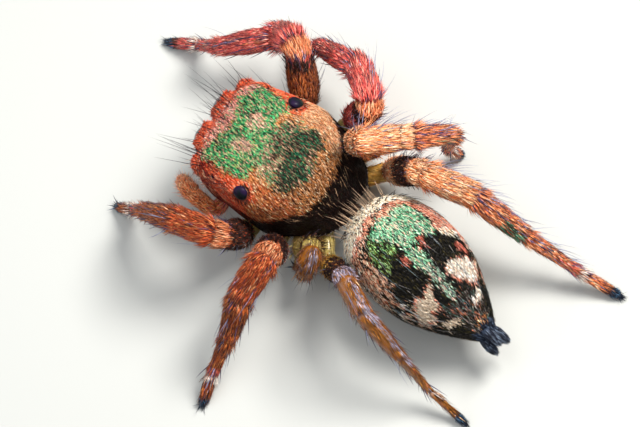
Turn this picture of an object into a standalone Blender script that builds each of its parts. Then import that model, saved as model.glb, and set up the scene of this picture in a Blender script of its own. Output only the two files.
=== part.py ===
"""A life-size, still model of a carrhotus jumping spider, standing on eight feet.

Sizes are millimetres in the animal's own directions: forward, left and up, with the ground
at height 0 and the middle of the eye field over forward 0, left 0. In the finished model
the head looks along -Y and the animal's left is +X.
"""

from dataclasses import dataclass

import bpy
import bmesh
import numpy as np
from mathutils import Vector

MM = 0.001
GAP = 0.03
FLOOR = 0.0

# Head shield: stations from the face to the rear edge, millimetres forward.
SHIELD_FORWARD = (0.77, 0.64, 0.45, 0.10, -0.35, -0.75, -1.10, -1.40, -1.70, -1.88)
SHIELD_HALF_WIDTH = (0.64, 0.83, 0.96, 1.01, 1.075, 1.10, 0.97, 0.80, 0.60, 0.34)
SHIELD_TOP = (1.70, 1.79, 1.85, 1.87, 1.87, 1.85, 1.74, 1.55, 1.16, 0.84)
SHIELD_EDGE = (1.04, 0.96, 0.86, 0.76, 0.67, 0.63, 0.62, 0.62, 0.64, 0.68)
SHIELD_SQUARENESS = (3.4, 4.2, 5.2, 5.4, 4.6, 3.8, 3.0, 2.5, 2.2, 2.0)
FACE_BULGE = 0.07
SHIELD_SIDES = 26

# Eyes: radius, then forward, left and up of the centre. The front middle pair is the big one.
EYES = {
    "eye_front_middle": (0.270, 0.66, 0.295, 1.46),
    "eye_front_side": (0.150, 0.58, 0.705, 1.52),
    "eye_small": (0.045, 0.15, 0.830, 1.715),
    "eye_rear": (0.128, -0.42, 0.875, 1.725),
}

# Abdomen, along its own axis from the waist to the tail.
ABDOMEN_START = (-2.13, 0.15)
ABDOMEN_YAW = 14.0
ABDOMEN_STATION = (0.00, 0.08, 0.30, 0.80, 1.35, 1.90, 2.45, 2.80, 3.00)
ABDOMEN_HALF_WIDTH = (0.16, 0.36, 0.62, 0.83, 0.88, 0.80, 0.55, 0.33, 0.19)
ABDOMEN_HALF_HEIGHT = (0.14, 0.32, 0.54, 0.72, 0.76, 0.68, 0.47, 0.29, 0.18)
ABDOMEN_MIDDLE_UP = (0.98, 1.02, 1.07, 1.12, 1.12, 1.06, 0.94, 0.83, 0.77)
ABDOMEN_SIDES = 24

WAIST_RADIUS = 0.11
WAIST_START = (0.09, 0.84)

# Breast plate and mouth parts.
STERNUM_MIDDLE = -0.88
STERNUM_HALF_LENGTH = 0.72
STERNUM_HALF_WIDTH = 0.36
STERNUM_UP = (0.26, 0.56)
MOUTH_FORWARD = (-0.14, 0.33)
MOUTH_HALF_WIDTH = 0.30
MOUTH_UP = (0.36, 0.67)

# Chelicerae and fangs.
CHELICERA_TOP = (0.53, 0.235, 0.85)
CHELICERA_TIP = (0.72, 0.225, 0.34)
CHELICERA_RADII = (0.20, 0.215, 0.205, 0.15)
FANG_RADIUS = 0.045

# Feelers beside the mouth: joints from the root to the tip, forward, left and up.
PALP_LEFT = ((0.24, 0.52, 0.53), (0.28, 1.18, 0.65), (0.62, 1.15, 0.98), (0.92, 1.04, 0.84),
             (1.17, 0.92, 0.52))
PALP_RIGHT = ((0.24, -0.52, 0.58), (0.66, -0.80, 0.72), (0.95, -0.62, 0.74),
              (1.08, -0.46, 0.56), (1.12, -0.38, 0.28))
PALP_RADII = (0.11, 0.14, 0.15, 0.16, 0.10)

# Tail: three short spinning cones.
SPINNERET_LENGTH = 0.30
SPINNERET_RADII = (0.095, 0.092, 0.052)
SPINNERETS = {
    "spinneret_left": (0.112, -0.03, 4.0),
    "spinneret_right": (-0.112, -0.03, -4.0),
    "tail_knob": (0.0, 0.155, 0.0),
}

LEG_SIDES = 12
COXA_START_UP = 0.40
COXA_RADII = (0.15, 0.18, 0.17)
FEMUR_RADII = (0.15, 0.24, 0.255, 0.235, 0.220)
SHIN_RADII = (0.215, 0.242, 0.238, 0.208, 0.208, 0.188, 0.152)
FOOT_RADII = (0.142, 0.132, 0.114, 0.104, 0.104, 0.098, 0.078)


@dataclass(frozen=True)
class Leg:
    """One leg: where its first joint leaves the body, the hip, and its aim segment by segment.

    coxa and hip are forward and left. Each aim is a length, a yaw from straight ahead towards
    the animal's left, and a rise, in degrees. The last aim's rise is left out, because the
    claws reach the floor.
    """

    coxa: tuple
    hip: tuple
    femur: tuple
    patella: tuple
    tibia: tuple
    metatarsus: tuple
    tarsus: tuple
    thickness: float = 1.0


LEGS = {
    "leg_1_right": Leg((-0.40, -0.40), (-0.05, -1.14, 0.43), (1.50, -75, 63), (0.71, -6, -45),
                       (1.16, 30, -15), (0.90, 2, -45), (0.73, 14), 1.04),
    "leg_2_right": Leg((-0.72, -0.42), (-0.87, -1.28, 0.43), (1.49, -171, 58), (0.88, -37, -12),
                       (1.04, -6, -24), (0.79, 4, -49), (0.54, -1)),
    "leg_3_right": Leg((-1.05, -0.42), (-1.51, -1.12, 0.43), (1.46, 119, 72), (0.97, -150, 6),
                       (0.77, -137, -30), (0.99, 15, -67), (0.58, -107)),
    "leg_4_right": Leg((-1.38, -0.32), (-1.93, -0.83, 0.43), (1.75, 178, 52), (0.92, -173, -18),
                       (1.04, 174, -30), (1.08, 179, -34), (0.79, -179)),
    "leg_1_left": Leg((-0.40, 0.40), (-0.30, 1.22, 0.43), (1.42, 114, 69), (0.88, 4, -10),
                      (1.00, 1, -37), (0.75, -2, -51), (0.59, 4), 1.02),
    "leg_2_left": Leg((-0.73, 0.42), (-0.87, 1.25, 0.41), (1.49, 153, 65), (0.88, 78, -21),
                      (0.81, 85, -43), (0.78, 77, -41), (0.59, 90), 1.07),
    "leg_3_left": Leg((-1.05, 0.42), (-1.27, 1.10, 0.43), (0.76, 197, 50), (0.46, 98, -5),
                      (0.53, -14, -68), (0.30, -15, -48), (0.28, -10), 0.80),
    "leg_4_left": Leg((-1.34, 0.34), (-1.86, 1.02, 0.43), (1.71, 162, 54), (0.67, 147, -7),
                      (0.99, 161, -40), (0.84, 161, -54), (0.75, 168), 0.80),
}

# Colour, roughness and metallic value of each finish.
FINISHES = {
    "shield": ((0.30, 0.17, 0.07), 0.6, 0.1),
    "abdomen": ((0.16, 0.25, 0.14), 0.6, 0.1),
    "leg": ((0.60, 0.21, 0.06), 0.5, 0.0),
    "hip": ((0.62, 0.42, 0.16), 0.5, 0.0),
    "underside": ((0.42, 0.27, 0.12), 0.6, 0.0),
    "jaw": ((0.22, 0.08, 0.03), 0.4, 0.0),
    "eye": ((0.01, 0.01, 0.015), 0.08, 0.0),
    "tail": ((0.03, 0.03, 0.05), 0.4, 0.0),
}


def clear_scene():
    """Remove every object that the file starts with."""
    for item in list(bpy.data.objects):
        bpy.data.objects.remove(item, do_unlink=True)


def unit(vector):
    """A vector or an array of vectors at length one."""
    return vector / np.linalg.norm(vector, axis=-1, keepdims=True)


def aim(yaw, rise):
    """The direction of a yaw and a rise in degrees, as forward, left, up."""
    turn, lift = np.radians((yaw, rise))
    return np.array((np.cos(lift) * np.cos(turn), np.cos(lift) * np.sin(turn), np.sin(lift)))


def smooth(at, stations, values):
    """A smooth curve through values at stations: cubic, with the slope of each point's neighbours."""
    stations = np.asarray(stations, float)
    values = np.asarray(values, float)
    if stations[0] > stations[-1]:
        stations = stations[::-1]
        values = values[::-1]
    slope = np.gradient(values, stations)
    cell = np.clip(np.searchsorted(stations, at) - 1, 0, len(stations) - 2)
    width = stations[cell + 1] - stations[cell]
    t = (at - stations[cell]) / width
    low = (2 * t**3 - 3 * t**2 + 1) * values[cell] + (t**3 - 2 * t**2 + t) * width * slope[cell]
    high = (3 * t**2 - 2 * t**3) * values[cell + 1] + (t**3 - t**2) * width * slope[cell + 1]
    return low + high


def even_steps(line, count):
    """Count points at even distances along a line of points."""
    steps = np.linalg.norm(np.diff(line, axis=0), axis=1)
    reach = np.concatenate(([0.0], np.cumsum(steps)))
    at = np.linspace(0.0, reach[-1], count)
    return np.stack([np.interp(at, reach, line[:, axis]) for axis in range(3)], axis=1)


def finish_of(name):
    """The material of a finish, made once."""
    if name in bpy.data.materials:
        return bpy.data.materials[name]
    colour, roughness, metallic = FINISHES[name]
    material = bpy.data.materials.new(name)
    material.use_nodes = True
    shader = material.node_tree.nodes["Principled BSDF"]
    shader.inputs["Base Color"].default_value = (*colour, 1.0)
    shader.inputs["Roughness"].default_value = roughness
    shader.inputs["Metallic"].default_value = metallic
    return material


def to_model(points):
    """Turn forward, left, up in millimetres into the model's X, Y, Z in metres."""
    points = np.asarray(points, float)
    return np.stack((points[..., 1], -points[..., 0], points[..., 2]), axis=-1) * MM


def make_object(name, vertices, faces, finish):
    """Add one closed mesh, with its faces pointing out, smooth except at sharp edges."""
    mesh = bpy.data.meshes.new(name)
    mesh.from_pydata([tuple(p) for p in to_model(vertices)], [], faces)
    work = bmesh.new()
    work.from_mesh(mesh)
    bmesh.ops.recalc_face_normals(work, faces=work.faces)
    bmesh.ops.triangulate(work, faces=work.faces)
    work.to_mesh(mesh)
    work.free()
    mesh.shade_smooth()
    mesh.set_sharp_from_angle(angle=np.radians(50))
    mesh.materials.append(finish_of(finish))
    item = bpy.data.objects.new(name, mesh)
    bpy.context.scene.collection.objects.link(item)
    return item


def loft(name, rings, finish):
    """Join rings of points into a closed body with flat ends."""
    count = len(rings[0])
    vertices = np.concatenate(rings)
    faces = []
    for ring in range(len(rings) - 1):
        for side in range(count):
            a = ring * count + side
            b = ring * count + (side + 1) % count
            faces.append((a, b, b + count, a + count))
    faces.append(tuple(range(count)))
    last = (len(rings) - 1) * count
    faces.append(tuple(range(last, last + count)))
    return make_object(name, vertices, faces, finish)


def rounded_path(joints, bend):
    """Points and places along a path of straight runs joined by arcs.

    Each inner joint gets an arc of radius bend, cut down where a run is short. Returns the
    points, and the index of the point in the middle of each arc.
    """
    joints = np.asarray(joints, float)
    points = [joints[0]]
    middles = []
    for before, corner, after in zip(joints[:-2], joints[1:-1], joints[2:]):
        inward = unit(before - corner)
        onward = unit(after - corner)
        half = np.arccos(np.clip(-inward @ onward, -1.0, 1.0)) / 2
        most = 0.48 * min(np.linalg.norm(before - corner), np.linalg.norm(after - corner))
        tangent = min(bend * np.tan(half), most)
        radius = tangent / np.tan(half)
        across = unit(inward + onward)
        centre = corner + across * radius / np.cos(half)
        ahead = unit(onward - inward)
        for turn in np.linspace(-half, half, 7):
            points.append(centre - across * radius * np.cos(turn) + ahead * radius * np.sin(turn))
        middles.append(len(points) - 4)
    points.append(joints[-1])
    return np.array(points), middles


def reach_of(points):
    """The distance along a path at each of its points."""
    return np.concatenate(([0.0], np.cumsum(np.linalg.norm(np.diff(points, axis=0), axis=1))))


def tube(name, path, reach, start, end, radii, finish, rings, sides=LEG_SIDES, round_tip=False):
    """A round body along part of a path, from one reach to another.

    The radii are spread evenly along it. Rings are perpendicular to the path and carried
    along it without twist. A round tip closes in over its last radius.
    """
    at = np.linspace(start, end, rings)
    if round_tip:
        tip = radii[-1]
        at = np.concatenate((at[:-1], end - tip * np.array((0.6, 0.25, 0.0))))
    middle = np.stack([np.interp(at, reach, path[:, axis]) for axis in range(3)], axis=1)
    near = np.stack([np.interp(at - 0.02, reach, path[:, axis]) for axis in range(3)], axis=1)
    far = np.stack([np.interp(at + 0.02, reach, path[:, axis]) for axis in range(3)], axis=1)
    along = unit(far - near)
    share = (at - start) / (end - start)
    radius = smooth(share, np.linspace(0, 1, len(radii)), radii)
    if round_tip:
        left = np.clip((end - at) / tip, 0.0, 1.0)
        radius = radius * np.sqrt(np.clip(1 - (1 - left) ** 2, 0.03, 1.0))
    side = np.cross(along[0], (0.0, 0.0, 1.0))
    if np.linalg.norm(side) < 0.2:
        side = np.cross(along[0], (1.0, 0.0, 0.0))
    side = unit(side)
    turn = np.linspace(0, 2 * np.pi, sides, endpoint=False)
    made = []
    for place, heading, size in zip(middle, along, radius):
        side = unit(side - heading * (side @ heading))
        up = np.cross(side, heading)
        ring = place + size * (np.outer(np.cos(turn), side) + np.outer(np.sin(turn), up))
        ring[:, 2] = np.maximum(ring[:, 2], FLOOR)
        made.append(ring)
    return loft(name, made, finish)


def ball(name, centre, radius, finish, sides=14, rings=9):
    """A sphere of flat faces, round the forward direction, closed at both poles."""
    lean = np.linspace(0, np.pi, rings + 1)[1:-1]
    turn = np.linspace(0, 2 * np.pi, sides, endpoint=False)
    centre = np.asarray(centre)
    vertices = [centre + (radius, 0, 0)]
    for angle in lean:
        ring = np.stack((np.full(sides, np.cos(angle)), np.sin(angle) * np.cos(turn),
                         np.sin(angle) * np.sin(turn)), axis=1)
        vertices.extend(centre + radius * ring)
    vertices.append(centre - (radius, 0, 0))
    faces = [(0, 1 + (i + 1) % sides, 1 + i) for i in range(sides)]
    for ring in range(len(lean) - 1):
        for i in range(sides):
            a = 1 + ring * sides + i
            b = 1 + ring * sides + (i + 1) % sides
            faces.append((a, b, b + sides, a + sides))
    last = len(vertices) - 1
    base = last - sides
    faces.extend((last, base + i, base + (i + 1) % sides) for i in range(sides))
    return make_object(name, np.array(vertices), faces, finish)


def shield_ring(forward, shrink=1.0):
    """One cross-section of the head shield: a flat bottom under a rounded box.

    The roof is a superellipse, left = w cos^(2/n) and up = h sin^(2/n) over the edge. Shrink
    draws the ring in towards the middle of the face.
    """
    width = smooth(forward, SHIELD_FORWARD, SHIELD_HALF_WIDTH)
    top = smooth(forward, SHIELD_FORWARD, SHIELD_TOP)
    edge = smooth(forward, SHIELD_FORWARD, SHIELD_EDGE)
    power = 2.0 / smooth(forward, SHIELD_FORWARD, SHIELD_SQUARENESS)
    turn = np.linspace(0, np.pi, 121)
    left = width * np.sign(np.cos(turn)) * np.abs(np.cos(turn)) ** power
    up = edge + (top - edge) * np.sin(turn) ** power
    roof = np.stack((np.full_like(left, forward), left, up), axis=1)
    ring = even_steps(roof, SHIELD_SIDES)
    middle = np.array((forward, 0.0, (top + edge) / 2))
    return middle + (ring - middle) * (1.0, shrink, shrink)


def make_shield():
    """The head shield, from the face to the rear edge."""
    first = SHIELD_FORWARD[0]
    rings = []
    for share in (0.35, 0.80):
        ring = shield_ring(first, share)
        ring[:, 0] += FACE_BULGE * np.sqrt(1 - share**2)
        rings.append(ring)
    for forward in np.linspace(first, SHIELD_FORWARD[-1], 17):
        rings.append(shield_ring(forward))
    return loft("carapace", rings, "shield")


def cut_sockets(body, eyes):
    """Cut a socket for each eye, a gap wider than the eye."""
    for name, (radius, centre) in eyes.items():
        cutter = ball(name + "_socket", centre, radius + GAP, "eye")
        cutter.hide_render = True
        cutter.display_type = "WIRE"
        cut = body.modifiers.new("socket", "BOOLEAN")
        cut.operation = "DIFFERENCE"
        cut.object = cutter


def make_eyes(body):
    """Four pairs of eyes, each sunk in its socket."""
    eyes = {}
    for name, (radius, forward, left, up) in EYES.items():
        for side, sign in (("left", 1), ("right", -1)):
            eyes[name + "_" + side] = (radius, (forward, sign * left, up))
    cut_sockets(body, eyes)
    for name, (radius, centre) in eyes.items():
        ball(name, centre, radius, "eye")


def abdomen_frame():
    """The start, the axis and the left-hand direction of the abdomen."""
    start = np.array((*ABDOMEN_START, 0.0))
    yaw = np.radians(180.0 - ABDOMEN_YAW)
    axis = np.array((np.cos(yaw), np.sin(yaw), 0.0))
    left = np.cross(axis, (0.0, 0.0, 1.0))
    return start, axis, left


def make_abdomen():
    """The abdomen: ellipses whose width, height and middle change smoothly along its axis."""
    start, axis, left = abdomen_frame()
    turn = np.linspace(0, 2 * np.pi, ABDOMEN_SIDES, endpoint=False)
    rings = []
    for share in np.linspace(0, 1, 17):
        at = ABDOMEN_STATION[-1] * (1 - np.cos(np.pi * share)) / 2
        width = smooth(at, ABDOMEN_STATION, ABDOMEN_HALF_WIDTH)
        height = smooth(at, ABDOMEN_STATION, ABDOMEN_HALF_HEIGHT)
        middle = start + axis * at + (0, 0, smooth(at, ABDOMEN_STATION, ABDOMEN_MIDDLE_UP))
        rings.append(middle + width * np.outer(np.cos(turn), left)
                     + height * np.outer(np.sin(turn), (0, 0, 1)))
    return loft("abdomen", rings, "abdomen")


def make_tail():
    """The spinning cones and the knob over them, a gap behind the abdomen's end."""
    start, axis, left = abdomen_frame()
    up = np.array((0.0, 0.0, 1.0))
    root = start + axis * (ABDOMEN_STATION[-1] + GAP) + up * (ABDOMEN_MIDDLE_UP[-1] - 0.04)
    for name, (aside, above, splay) in SPINNERETS.items():
        heading = unit(axis + left * np.sin(np.radians(splay)) - up * 0.12)
        begin = root + left * aside + up * above
        path = np.array((begin, begin + heading * SPINNERET_LENGTH))
        tube(name, path, reach_of(path), 0.0, SPINNERET_LENGTH, SPINNERET_RADII, "tail", 4,
             sides=10)


def make_waist():
    """The narrow stalk between the head shield and the abdomen."""
    start, axis, left = abdomen_frame()
    begin = np.array((SHIELD_FORWARD[-1] - 2 * GAP, *WAIST_START))
    end = start + (0, 0, ABDOMEN_MIDDLE_UP[0] - 0.08) - axis * 2 * GAP
    path = np.array((begin, end))
    reach = reach_of(path)
    tube("waist", path, reach, 0.0, reach[-1], (WAIST_RADIUS,) * 3, "underside", 4, sides=10)


def make_underside():
    """The breast plate and the mouth block in front of it."""
    turn = np.linspace(0, 2 * np.pi, 20, endpoint=False)
    low, high = STERNUM_UP
    rings = []
    for up, size in ((low, 0.70), (low + 0.08, 0.95), (high, 1.0)):
        rings.append(np.stack((STERNUM_MIDDLE + STERNUM_HALF_LENGTH * size * np.cos(turn),
                               STERNUM_HALF_WIDTH * size * np.sin(turn),
                               np.full_like(turn, up)), axis=1))
    loft("sternum", rings, "underside")
    rear, front = MOUTH_FORWARD
    middle = (rear + front) / 2
    low, high = MOUTH_UP
    rings = []
    for up, size in ((low, 0.80), (low + 0.10, 1.0), (high, 1.0)):
        square = np.abs(np.cos(turn)) ** 0.6 * np.sign(np.cos(turn))
        rings.append(np.stack((middle + (front - rear) / 2 * size * square,
                               MOUTH_HALF_WIDTH * size * np.sin(turn),
                               np.full_like(turn, up)), axis=1))
    loft("mouth_lobes", rings, "underside")


def make_jaws():
    """The two chelicerae, and a fang folded across the tip of each."""
    for side, sign in (("left", 1), ("right", -1)):
        flip = np.array((1.0, sign, 1.0))
        top = np.array(CHELICERA_TOP) * flip
        tip = np.array(CHELICERA_TIP) * flip
        path = np.array((top, tip))
        reach = reach_of(path)
        tube("chelicera_" + side, path, reach, 0.0, reach[-1], CHELICERA_RADII, "jaw", 6)
        root = tip + np.array((0.05, 0.06, -0.05 - GAP)) * flip
        bend = root + np.array((-0.03, -0.05, -0.07)) * flip
        end = bend + np.array((-0.10, -0.10, 0.0)) * flip
        path, _ = rounded_path((root, bend, end), 0.05)
        reach = reach_of(path)
        tube("fang_" + side, path, reach, 0.0, reach[-1],
             (FANG_RADIUS, FANG_RADIUS * 0.8, FANG_RADIUS * 0.35), "jaw", 6, sides=8)


def make_palps():
    """The two short feelers beside the face."""
    for side, joints in (("left", PALP_LEFT), ("right", PALP_RIGHT)):
        path, _ = rounded_path(joints, 0.16)
        reach = reach_of(path)
        tube("palp_" + side, path, reach, 0.0, reach[-1], PALP_RADII, "leg", 17, sides=10,
             round_tip=True)


def leg_joints(leg):
    """The joints of a leg, from the body to the claws, which end just over the floor."""
    points = [np.array((*leg.coxa, COXA_START_UP)), np.array(leg.hip, float)]
    for length, yaw, rise in (leg.femur, leg.patella, leg.tibia, leg.metatarsus):
        points.append(points[-1] + length * aim(yaw, rise))
    length, yaw = leg.tarsus
    drop = points[-1][2] - FOOT_RADII[-1] * 0.7
    rise = -np.degrees(np.arcsin(min(0.98, drop / length)))
    points.append(points[-1] + length * aim(yaw, rise))
    return points


def make_leg(name, leg):
    """One leg in four pieces, cut across the middle of each bend with a gap between."""
    path, middles = rounded_path(leg_joints(leg), 0.30)
    reach = reach_of(path)
    hip, knee, _, ankle, _ = (reach[index] for index in middles)
    half = GAP / 2
    scale = leg.thickness
    cuts = (
        ("coxa", 0.0, hip - half, COXA_RADII, "hip", 6, False),
        ("femur", hip + half, knee - half, FEMUR_RADII, "leg", 10, False),
        ("shin", knee + half, ankle - half, SHIN_RADII, "leg", 12, False),
        ("foot", ankle + half, reach[-1], FOOT_RADII, "leg", 12, True),
    )
    for part, start, end, radii, finish, rings, tip in cuts:
        tube(name + "_" + part, path, reach, start, end, [scale * r for r in radii], finish,
             rings, round_tip=tip)


def centre_on_floor():
    """Move every object so that the middle of the whole model's footprint is the origin."""
    solids = [item for item in bpy.data.objects if item.type == "MESH"]
    shown = [item for item in solids if not item.hide_render]
    corners = np.array([vertex.co for item in shown for vertex in item.data.vertices])
    low = corners.min(axis=0)
    high = corners.max(axis=0)
    shift = Vector((-(low[0] + high[0]) / 2, -(low[1] + high[1]) / 2, -low[2]))
    for item in solids:
        for vertex in item.data.vertices:
            vertex.co += shift


def main():
    """Build the whole animal."""
    clear_scene()
    body = make_shield()
    make_eyes(body)
    make_waist()
    make_abdomen()
    make_tail()
    make_underside()
    make_jaws()
    make_palps()
    for name, leg in LEGS.items():
        make_leg(name, leg)
    centre_on_floor()


main()
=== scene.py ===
"""The looks of a still, life-size jumping spider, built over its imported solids.

Shapes are worked out in millimetres in the animal's own directions, forward, left and up, with
the ground at height 0, and Frame.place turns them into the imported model's metres. Each skin is
a closed grid surface just inside the solids that it replaces, and scales, hair and bristles
are thin closed tufts rooted on it. Skin and tufts take their colours from the same zones.
"""

from __future__ import annotations

import logging
import math
from collections.abc import Callable
from dataclasses import dataclass, field
from enum import Enum

import bpy
import numpy as np
from mathutils import Matrix, Vector

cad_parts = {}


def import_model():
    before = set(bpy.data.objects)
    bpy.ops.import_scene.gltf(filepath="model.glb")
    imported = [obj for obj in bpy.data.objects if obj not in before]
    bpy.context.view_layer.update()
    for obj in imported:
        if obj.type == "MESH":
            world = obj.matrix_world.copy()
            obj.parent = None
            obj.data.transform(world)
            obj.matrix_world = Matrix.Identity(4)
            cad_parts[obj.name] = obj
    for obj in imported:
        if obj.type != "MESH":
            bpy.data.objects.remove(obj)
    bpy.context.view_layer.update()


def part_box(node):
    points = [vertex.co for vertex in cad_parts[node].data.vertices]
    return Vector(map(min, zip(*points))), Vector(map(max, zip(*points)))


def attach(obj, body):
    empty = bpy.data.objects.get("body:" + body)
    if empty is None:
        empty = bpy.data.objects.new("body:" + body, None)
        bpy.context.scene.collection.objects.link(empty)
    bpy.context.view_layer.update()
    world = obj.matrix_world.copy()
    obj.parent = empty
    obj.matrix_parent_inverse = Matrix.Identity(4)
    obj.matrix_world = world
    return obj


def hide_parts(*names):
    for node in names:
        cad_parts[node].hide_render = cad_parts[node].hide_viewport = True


LOG = logging.getLogger("spider")
Array = np.ndarray
UP = np.array((0.0, 0.0, 1.0))
COAT_DEPTH = 0.025  # how far each skin lies inside the solids, in millimetres
MOST_TRIANGLES = 190_000  # in one piece of coat
PATCH = 0.0015  # half the size of a tuft's patch on the OFBake map
TUFT_FLOOR = 0.003  # the level that every part of a tuft stays over, in millimetres
SKIN_FLOOR = 0.004  # the lowest level of a leg's skin
SKIN_SHADE = 0.55  # painted shade: how much darker a body's skin is made under its coat, against the scales over it
DARK = (0.012, 0.010, 0.014, 0.1)  # the long bristles' colour


class Slot(Enum):
    """The record's material slots."""

    SHIELD = "shield"
    ABDOMEN = "abdomen"
    LEG = "leg"
    UNDERSIDE = "underside"
    JAW = "jaw"
    EYE = "eye"
    TAIL = "tail"


def unit(vectors: Array) -> Array:
    """Vectors at length one."""
    size = np.linalg.norm(vectors, axis=-1, keepdims=True)
    return vectors / np.maximum(size, 1e-12)


def rise(x: Array, low: float, high: float) -> Array:
    """A smooth step, 3t^2 - 2t^3, from 0 at low to 1 at high."""
    t = np.clip((x - low) / (high - low), 0.0, 1.0)
    return t * t * (3 - 2 * t)


def spot(x: Array, y: Array, centre: tuple, half: tuple, edge: float = 0.4, lean: float = 0.0) -> Array:
    """A soft ellipse.

    Args:
        x, y: places.
        centre: the ellipse's middle.
        half: its half sizes.
        edge: how wide its soft edge is, as a share of its size.
        lean: how far y moves with each unit of x.

    Returns:
        1 inside the ellipse and 0 outside.
    """
    across = (x - centre[0]) / half[0]
    up = (y - centre[1] - lean * (x - centre[0])) / half[1]
    return rise(np.hypot(across, up), 1 + edge / 2, 1 - edge / 2)


def inside(x: Array, y: Array, corners: tuple, edge: float, stretch: float) -> Array:
    """A soft-edged closed outline.

    Args:
        x, y: places.
        corners: the outline's corners, in turn.
        edge: how wide its soft edge is.
        stretch: what one step of y measures in steps of x.

    Returns:
        1 inside the outline and 0 outside.
    """
    place = np.stack((x, y * stretch), axis=-1)
    ring = np.array(corners, float) * (1.0, stretch)
    nearest = np.full(len(place), np.inf)
    within = np.zeros(len(place), bool)
    for start, stop in zip(ring, np.roll(ring, -1, axis=0)):
        run = stop - start
        share = np.clip(((place - start) @ run) / (run @ run), 0, 1)
        nearest = np.minimum(nearest, np.linalg.norm(place - start - share[:, None] * run, axis=1))
        crosses = (start[1] > place[:, 1]) != (stop[1] > place[:, 1])
        level = run[1] if abs(run[1]) > 1e-9 else 1e-9
        within ^= crosses & (place[:, 0] < start[0] + (place[:, 1] - start[1]) * run[0] / level)
    return rise(np.where(within, nearest, -nearest), -edge / 2, edge / 2)


def grain(points: Array, size: float, seed: int = 0) -> Array:
    """Smooth random values from 0 to 1: the hashed corners of a cubic lattice, mixed smoothly.

    Args:
        points: places, in the last axis's three numbers.
        size: the lattice's spacing.
        seed: picks another pattern.

    Returns:
        One value for each place.
    """
    cell = points / size
    low = np.floor(cell)
    part = cell - low
    part = part * part * (3 - 2 * part)
    low = low.astype(np.int64)
    total = np.zeros(points.shape[:-1])
    for corner in range(8):
        step = np.array((corner & 1, corner >> 1 & 1, corner >> 2 & 1))
        key = low + step
        mixed = key[..., 0] * 73856093 ^ key[..., 1] * 19349663 ^ key[..., 2] * 83492791 ^ seed * 40503
        mixed = (mixed ^ (mixed >> 13)) * 1274126177
        value = ((mixed ^ (mixed >> 16)) & 0xFFFF) / 65535.0
        total += value * np.prod(np.where(step, part, 1 - part), axis=-1)
    return total


def curve(at: Array, stations: tuple, values: tuple) -> Array:
    """A smooth curve through values at stations: cubic, with each point's slope from its neighbours."""
    stations = np.asarray(stations, float)
    values = np.asarray(values, float)
    if stations[0] > stations[-1]:
        stations = stations[::-1]
        values = values[::-1]
    slope = np.gradient(values, stations)
    cell = np.clip(np.searchsorted(stations, at) - 1, 0, len(stations) - 2)
    width = stations[cell + 1] - stations[cell]
    t = (at - stations[cell]) / width
    low = (2 * t**3 - 3 * t**2 + 1) * values[cell] + (t**3 - 2 * t**2 + t) * width * slope[cell]
    high = (3 * t**2 - 2 * t**3) * values[cell + 1] + (t**3 - t**2) * width * slope[cell + 1]
    return low + high


@dataclass
class Frame:
    """Turns forward, left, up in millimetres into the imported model's metres."""

    eye: tuple = (0.66, 0.295, 1.46)
    shift: Array = field(default_factory=lambda: np.zeros(3))

    def find(self) -> None:
        """Take the shift from the left front middle eye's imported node."""
        low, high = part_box("eye_front_middle_left")
        self.shift = np.array((low + high) / 2) - self.turn(np.array(self.eye)) * 0.001

    def turn(self, points: Array) -> Array:
        """Forward, left, up as the model's X, Y, Z."""
        return np.stack((points[..., 1], -points[..., 0], points[..., 2]), axis=-1)

    def place(self, points: Array) -> Array:
        """Points in millimetres as metres in the model's frame."""
        return self.turn(np.asarray(points, float)) * 0.001 + self.shift


FRAME = Frame()


@dataclass(frozen=True)
class Mix:
    """Scale colours that lie side by side in one zone: red, green, blue, shine and share of each."""

    colours: tuple

    def pick(self, luck: Array) -> Array:
        """One of the colours for each number from 0 to 1."""
        table = np.array(self.colours, float)
        edges = np.cumsum(table[:, 4]) / table[:, 4].sum()
        return table[np.minimum(np.searchsorted(edges, luck), len(table) - 1), :4]

    def mean(self) -> Array:
        """The colours' mean by share."""
        table = np.array(self.colours, float)
        return (table[:, :4] * table[:, 4:]).sum(axis=0) / table[:, 4].sum()


OCHRE = Mix(((0.80, 0.34, 0.12, 0.0, 4), (0.50, 0.17, 0.045, 0.0, 3.6), (0.98, 0.60, 0.36, 0.0, 1.6),
             (0.10, 0.03, 0.012, 0.0, 2.2)))
TAN = Mix(((0.70, 0.29, 0.10, 0.0, 4), (0.38, 0.13, 0.035, 0.0, 3.6), (0.95, 0.62, 0.38, 0.0, 1.6),
           (0.07, 0.022, 0.01, 0.0, 2.6)))
GREEN = Mix(((0.05, 0.48, 0.16, 0.2, 5), (0.14, 0.66, 0.25, 0.25, 2.4), (0.92, 0.44, 0.30, 0.0, 1.9),
             (0.012, 0.03, 0.016, 0.1, 3.2), (0.50, 0.50, 0.15, 0.1, 1.0)))
SALMON = Mix(((0.98, 0.56, 0.42, 0.0, 6), (0.92, 0.40, 0.26, 0.0, 3), (0.10, 0.45, 0.17, 0.2, 0.7)))
PINK_FRONT = Mix(((0.94, 0.38, 0.31, 0.0, 4), (0.72, 0.21, 0.16, 0.0, 3), (0.98, 0.60, 0.50, 0.0, 1.8),
                  (0.20, 0.45, 0.18, 0.2, 1.2), (0.08, 0.02, 0.02, 0.0, 1.1)))
RIM = Mix(((0.92, 0.15, 0.05, 0.0, 5), (0.66, 0.05, 0.015, 0.0, 4), (0.98, 0.36, 0.22, 0.0, 1.6),
           (0.32, 0.02, 0.012, 0.0, 1.6)))
DEEP_RED = Mix(((0.26, 0.015, 0.008, 0.0, 4), (0.46, 0.04, 0.018, 0.0, 2.0),
                (0.08, 0.007, 0.006, 0.0, 2.4)))
BLOTCH = Mix(((0.014, 0.014, 0.010, 0.1, 5), (0.02, 0.22, 0.10, 0.5, 2.0), (0.34, 0.19, 0.11, 0.0, 0.9),
              (0.06, 0.04, 0.025, 0.0, 1.6)))
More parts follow.
